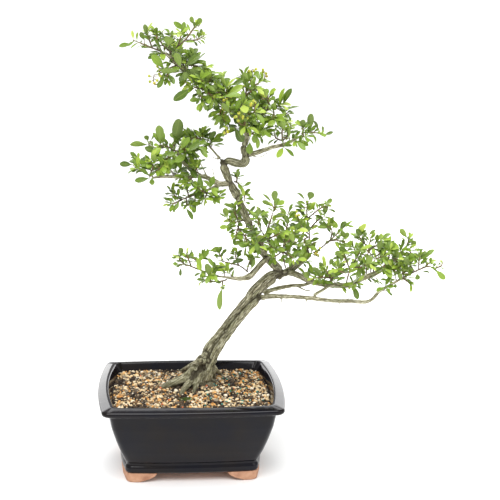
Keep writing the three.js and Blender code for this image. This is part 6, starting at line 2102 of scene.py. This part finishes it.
def make_grains():
    """Rows of grains over the bed, darker round the trunk and in patches."""
    draw = draws_from(41)
    kinds = {"grit_coarse": (Shape(), [], FINE_BALL), "grit_fine": (Shape(), [], PLAIN_BALL)}
    rows = int(RIM_DEPTH / (GRAIN_PITCH * ROW_PITCH))
    columns = int(RIM_WIDTH / GRAIN_PITCH)
    for row in range(rows):
        for column in range(columns):
            x = (column - columns / 2 + 0.5 * (row % 2)) * GRAIN_PITCH + (draw() - 0.5) * GRAIN_JITTER
            y = (row - rows / 2) * GRAIN_PITCH * ROW_PITCH + (draw() - 0.5) * GRAIN_JITTER
            size, pick, lift, dark = draw(), draw(), draw(), draw()
            radius = GRAIN_RADIUS + GRAIN_GROWTH * size * size + (LARGEST_EXTRA if size > LARGEST_SIZE else 0)
            if not inside_pot(x, y, radius * 0.8):
                continue
            place = np.array([x, y, ground_height(x, y) - GRAIN_SINK + lift * GRAIN_LIFT])
            if segments.nearest_wood(place) < -0.6:
                continue
            near = math.hypot(x - TRUNK_FOOT[0] + 8, y - TRUNK_FOOT[1])
            patch = noise_at(x * 0.045, y * 0.06, 8)
            darkness = max(DARK_LEAST, DARK_AT_TRUNK - near / DARK_FADE, patch * DARK_PATCH)
            choice = DARK_TINTS if dark < darkness else GRAIN_TINTS
            shape, tints, (points, faces) = kinds["grit_coarse" if size > COARSE_SIZE else "grit_fine"]
            add_grain(shape, place, radius, draw, points, faces)
            tints.extend([(*choice[int(pick * len(choice))], 1)] * len(points))
    for name, (shape, tints, _) in kinds.items():
        thing = shape.make(name, [grit_stone])
        colours = thing.data.color_attributes.new("tint", "FLOAT_COLOR", "POINT")
        colours.data.foreach_set("color", np.array(tints, dtype=np.float32).ravel())
        dress(thing, "grit", "grit")


def make_pellets(name, colour, count, least_x, most_x, seed):
    """Round grains of feed lying on the grit, most of them right of the trunk."""
    draw = draws_from(seed)
    shape = Shape()
    points, faces = FINE_BALL
    while count:
        x = least_x + (most_x - least_x) * draw()
        y = (draw() - 0.5) * PELLETS_DEEP
        place = np.array([x, y, ground_height(x, y) + 0.9])
        radius = 1.15 + draw() * 0.45
        if inside_pot(x, y, 4) and segments.nearest_wood(place) > 1:
            shape.add(points * radius + place, faces)
            count -= 1
    dress(shape.make(name, [plain(name, colour, roughness=0.45)]), "grit")


def make_moss():
    """Small cushions of moss: short pointed shoots on the grit."""
    draw = draws_from(63)
    shape = Shape()
    for across, down, spread in MOSS_SPOTS:
        middle = ground_spot(across, down)
        for _ in range(int(spread * spread * SHOOTS_PER_SQUARE)):
            turn, reach = draw() * math.tau, math.sqrt(draw()) * spread
            x = middle[0] + math.cos(turn) * reach
            y = middle[1] + math.sin(turn) * reach * 0.6
            tall = 2.4 * (1 - 0.6 * (reach / spread) ** 2) * (0.7 + 0.5 * draw())
            foot = np.array([x, y, ground_height(x, y) - 0.4])
            lean = np.array([(draw() - 0.5) * 1.2, (draw() - 0.5) * 1.2, tall])
            points = [foot + np.array([math.cos(t), math.sin(t), 0]) * SHOOT_RADIUS for t in (0, 2.1, 4.2)]
            shape.add([*points, foot + lean], [(0, 1, 3), (1, 2, 3), (2, 0, 3), (2, 1, 0)])
    green = plain("moss", (0.09, 0.16, 0.025), roughness=0.9, specular=0.2)
    dress(shape.make("moss", [green], smooth=False), "foliage")


make_bed()
make_grains()
for row in PELLETS:
    make_pellets(*row)
make_moss()

# Nodes that stay as they are get their finish
for name in ("soil", "drain_screen_left", "drain_screen_right"):
    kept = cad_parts[name]
    kept.data.materials.clear()
    entry = soil_and_shade if name == "soil" else plain(f"{name}_mesh", (0.02, 0.022, 0.02), roughness=0.5)
    kept.data.materials.append(entry)


# Stage: a pale floor, soft lights and the viewer's camera, in metres

FLOOR_HALF = 60
FLOOR_BELOW = 0.0002
# Name, place, the point it is turned to, its width and height, its power in watts
LAMPS = [
    ("rim_left", (-0.86, 1.5, 0.65), (-0.23, 0, 0.1), (0.9, 0.9), 9),
    ("rim_right", (0.62, 1.5, 0.62), (0.02, 0, 0.1), (0.9, 0.9), 8),
    ("fill", (1.6, -1.0, 1.1), (0, 0, 0.3), (1.2, 1.2), 7),
    ("back", (0.2, 1.6, 1.8), (0, 0, 0.35), (1.6, 0.8), 12),
]
SUN_AIM = (0.22, 0.7, -1.6)
SUN_STRENGTH = 3.0
SUN_SPREAD = 50
SKY_STRENGTH = 0.62
FARTHEST_SEEN = 200


def make_floor():
    corners = [(-1, -1), (1, -1), (1, 1), (-1, 1)]
    places = [(x * FLOOR_HALF, y * FLOOR_HALF, -FLOOR_BELOW) for x, y in corners]
    mesh = mesh_of("floor", places, [(0, 1, 2, 3)])
    mesh.materials.append(plain("floor", (0.9, 0.9, 0.9), roughness=0.9, specular=0.1))
    return placed("floor", mesh)


make_floor()


def aimed(way):
    """The turn that points a lamp along a direction."""
    return Vector(way).to_track_quat("-Z", "Y").to_euler()


for name, place, aim, size, power in LAMPS:
    lamp = bpy.data.lights.new(name, "AREA")
    lamp.shape = "RECTANGLE"
    lamp.size, lamp.size_y = size
    lamp.energy = power
    thing = placed(name, lamp)
    thing.location = place
    thing.rotation_euler = aimed(Vector(aim) - Vector(place))
    thing.visible_camera = False

# One soft light for the plant and for all of the floor
sun = bpy.data.lights.new("sun", "SUN")
sun.energy = SUN_STRENGTH
sun.angle = math.radians(SUN_SPREAD)
placed("sun", sun).rotation_euler = aimed(SUN_AIM)

world = bpy.data.worlds.new("studio")
world.use_nodes = True
sky = world.node_tree.nodes["Background"]
sky.inputs["Color"].default_value = (1, 1, 1, 1)
sky.inputs["Strength"].default_value = SKY_STRENGTH
bpy.context.scene.world = world
bpy.context.scene.view_settings.view_transform = "Standard"

camera = bpy.data.cameras.new("viewer")
camera.sensor_width = SENSOR_WIDTH
camera.lens = VIEW_FOCUS / PICTURE_WIDTH * SENSOR_WIDTH
camera.clip_end = FARTHEST_SEEN
viewer = placed("viewer", camera)
axes = Matrix((view_right, view_up, -forward)).transposed().to_4x4()
axes.translation = in_metres(VIEWER)
viewer.matrix_world = axes
bpy.context.scene.camera = viewer
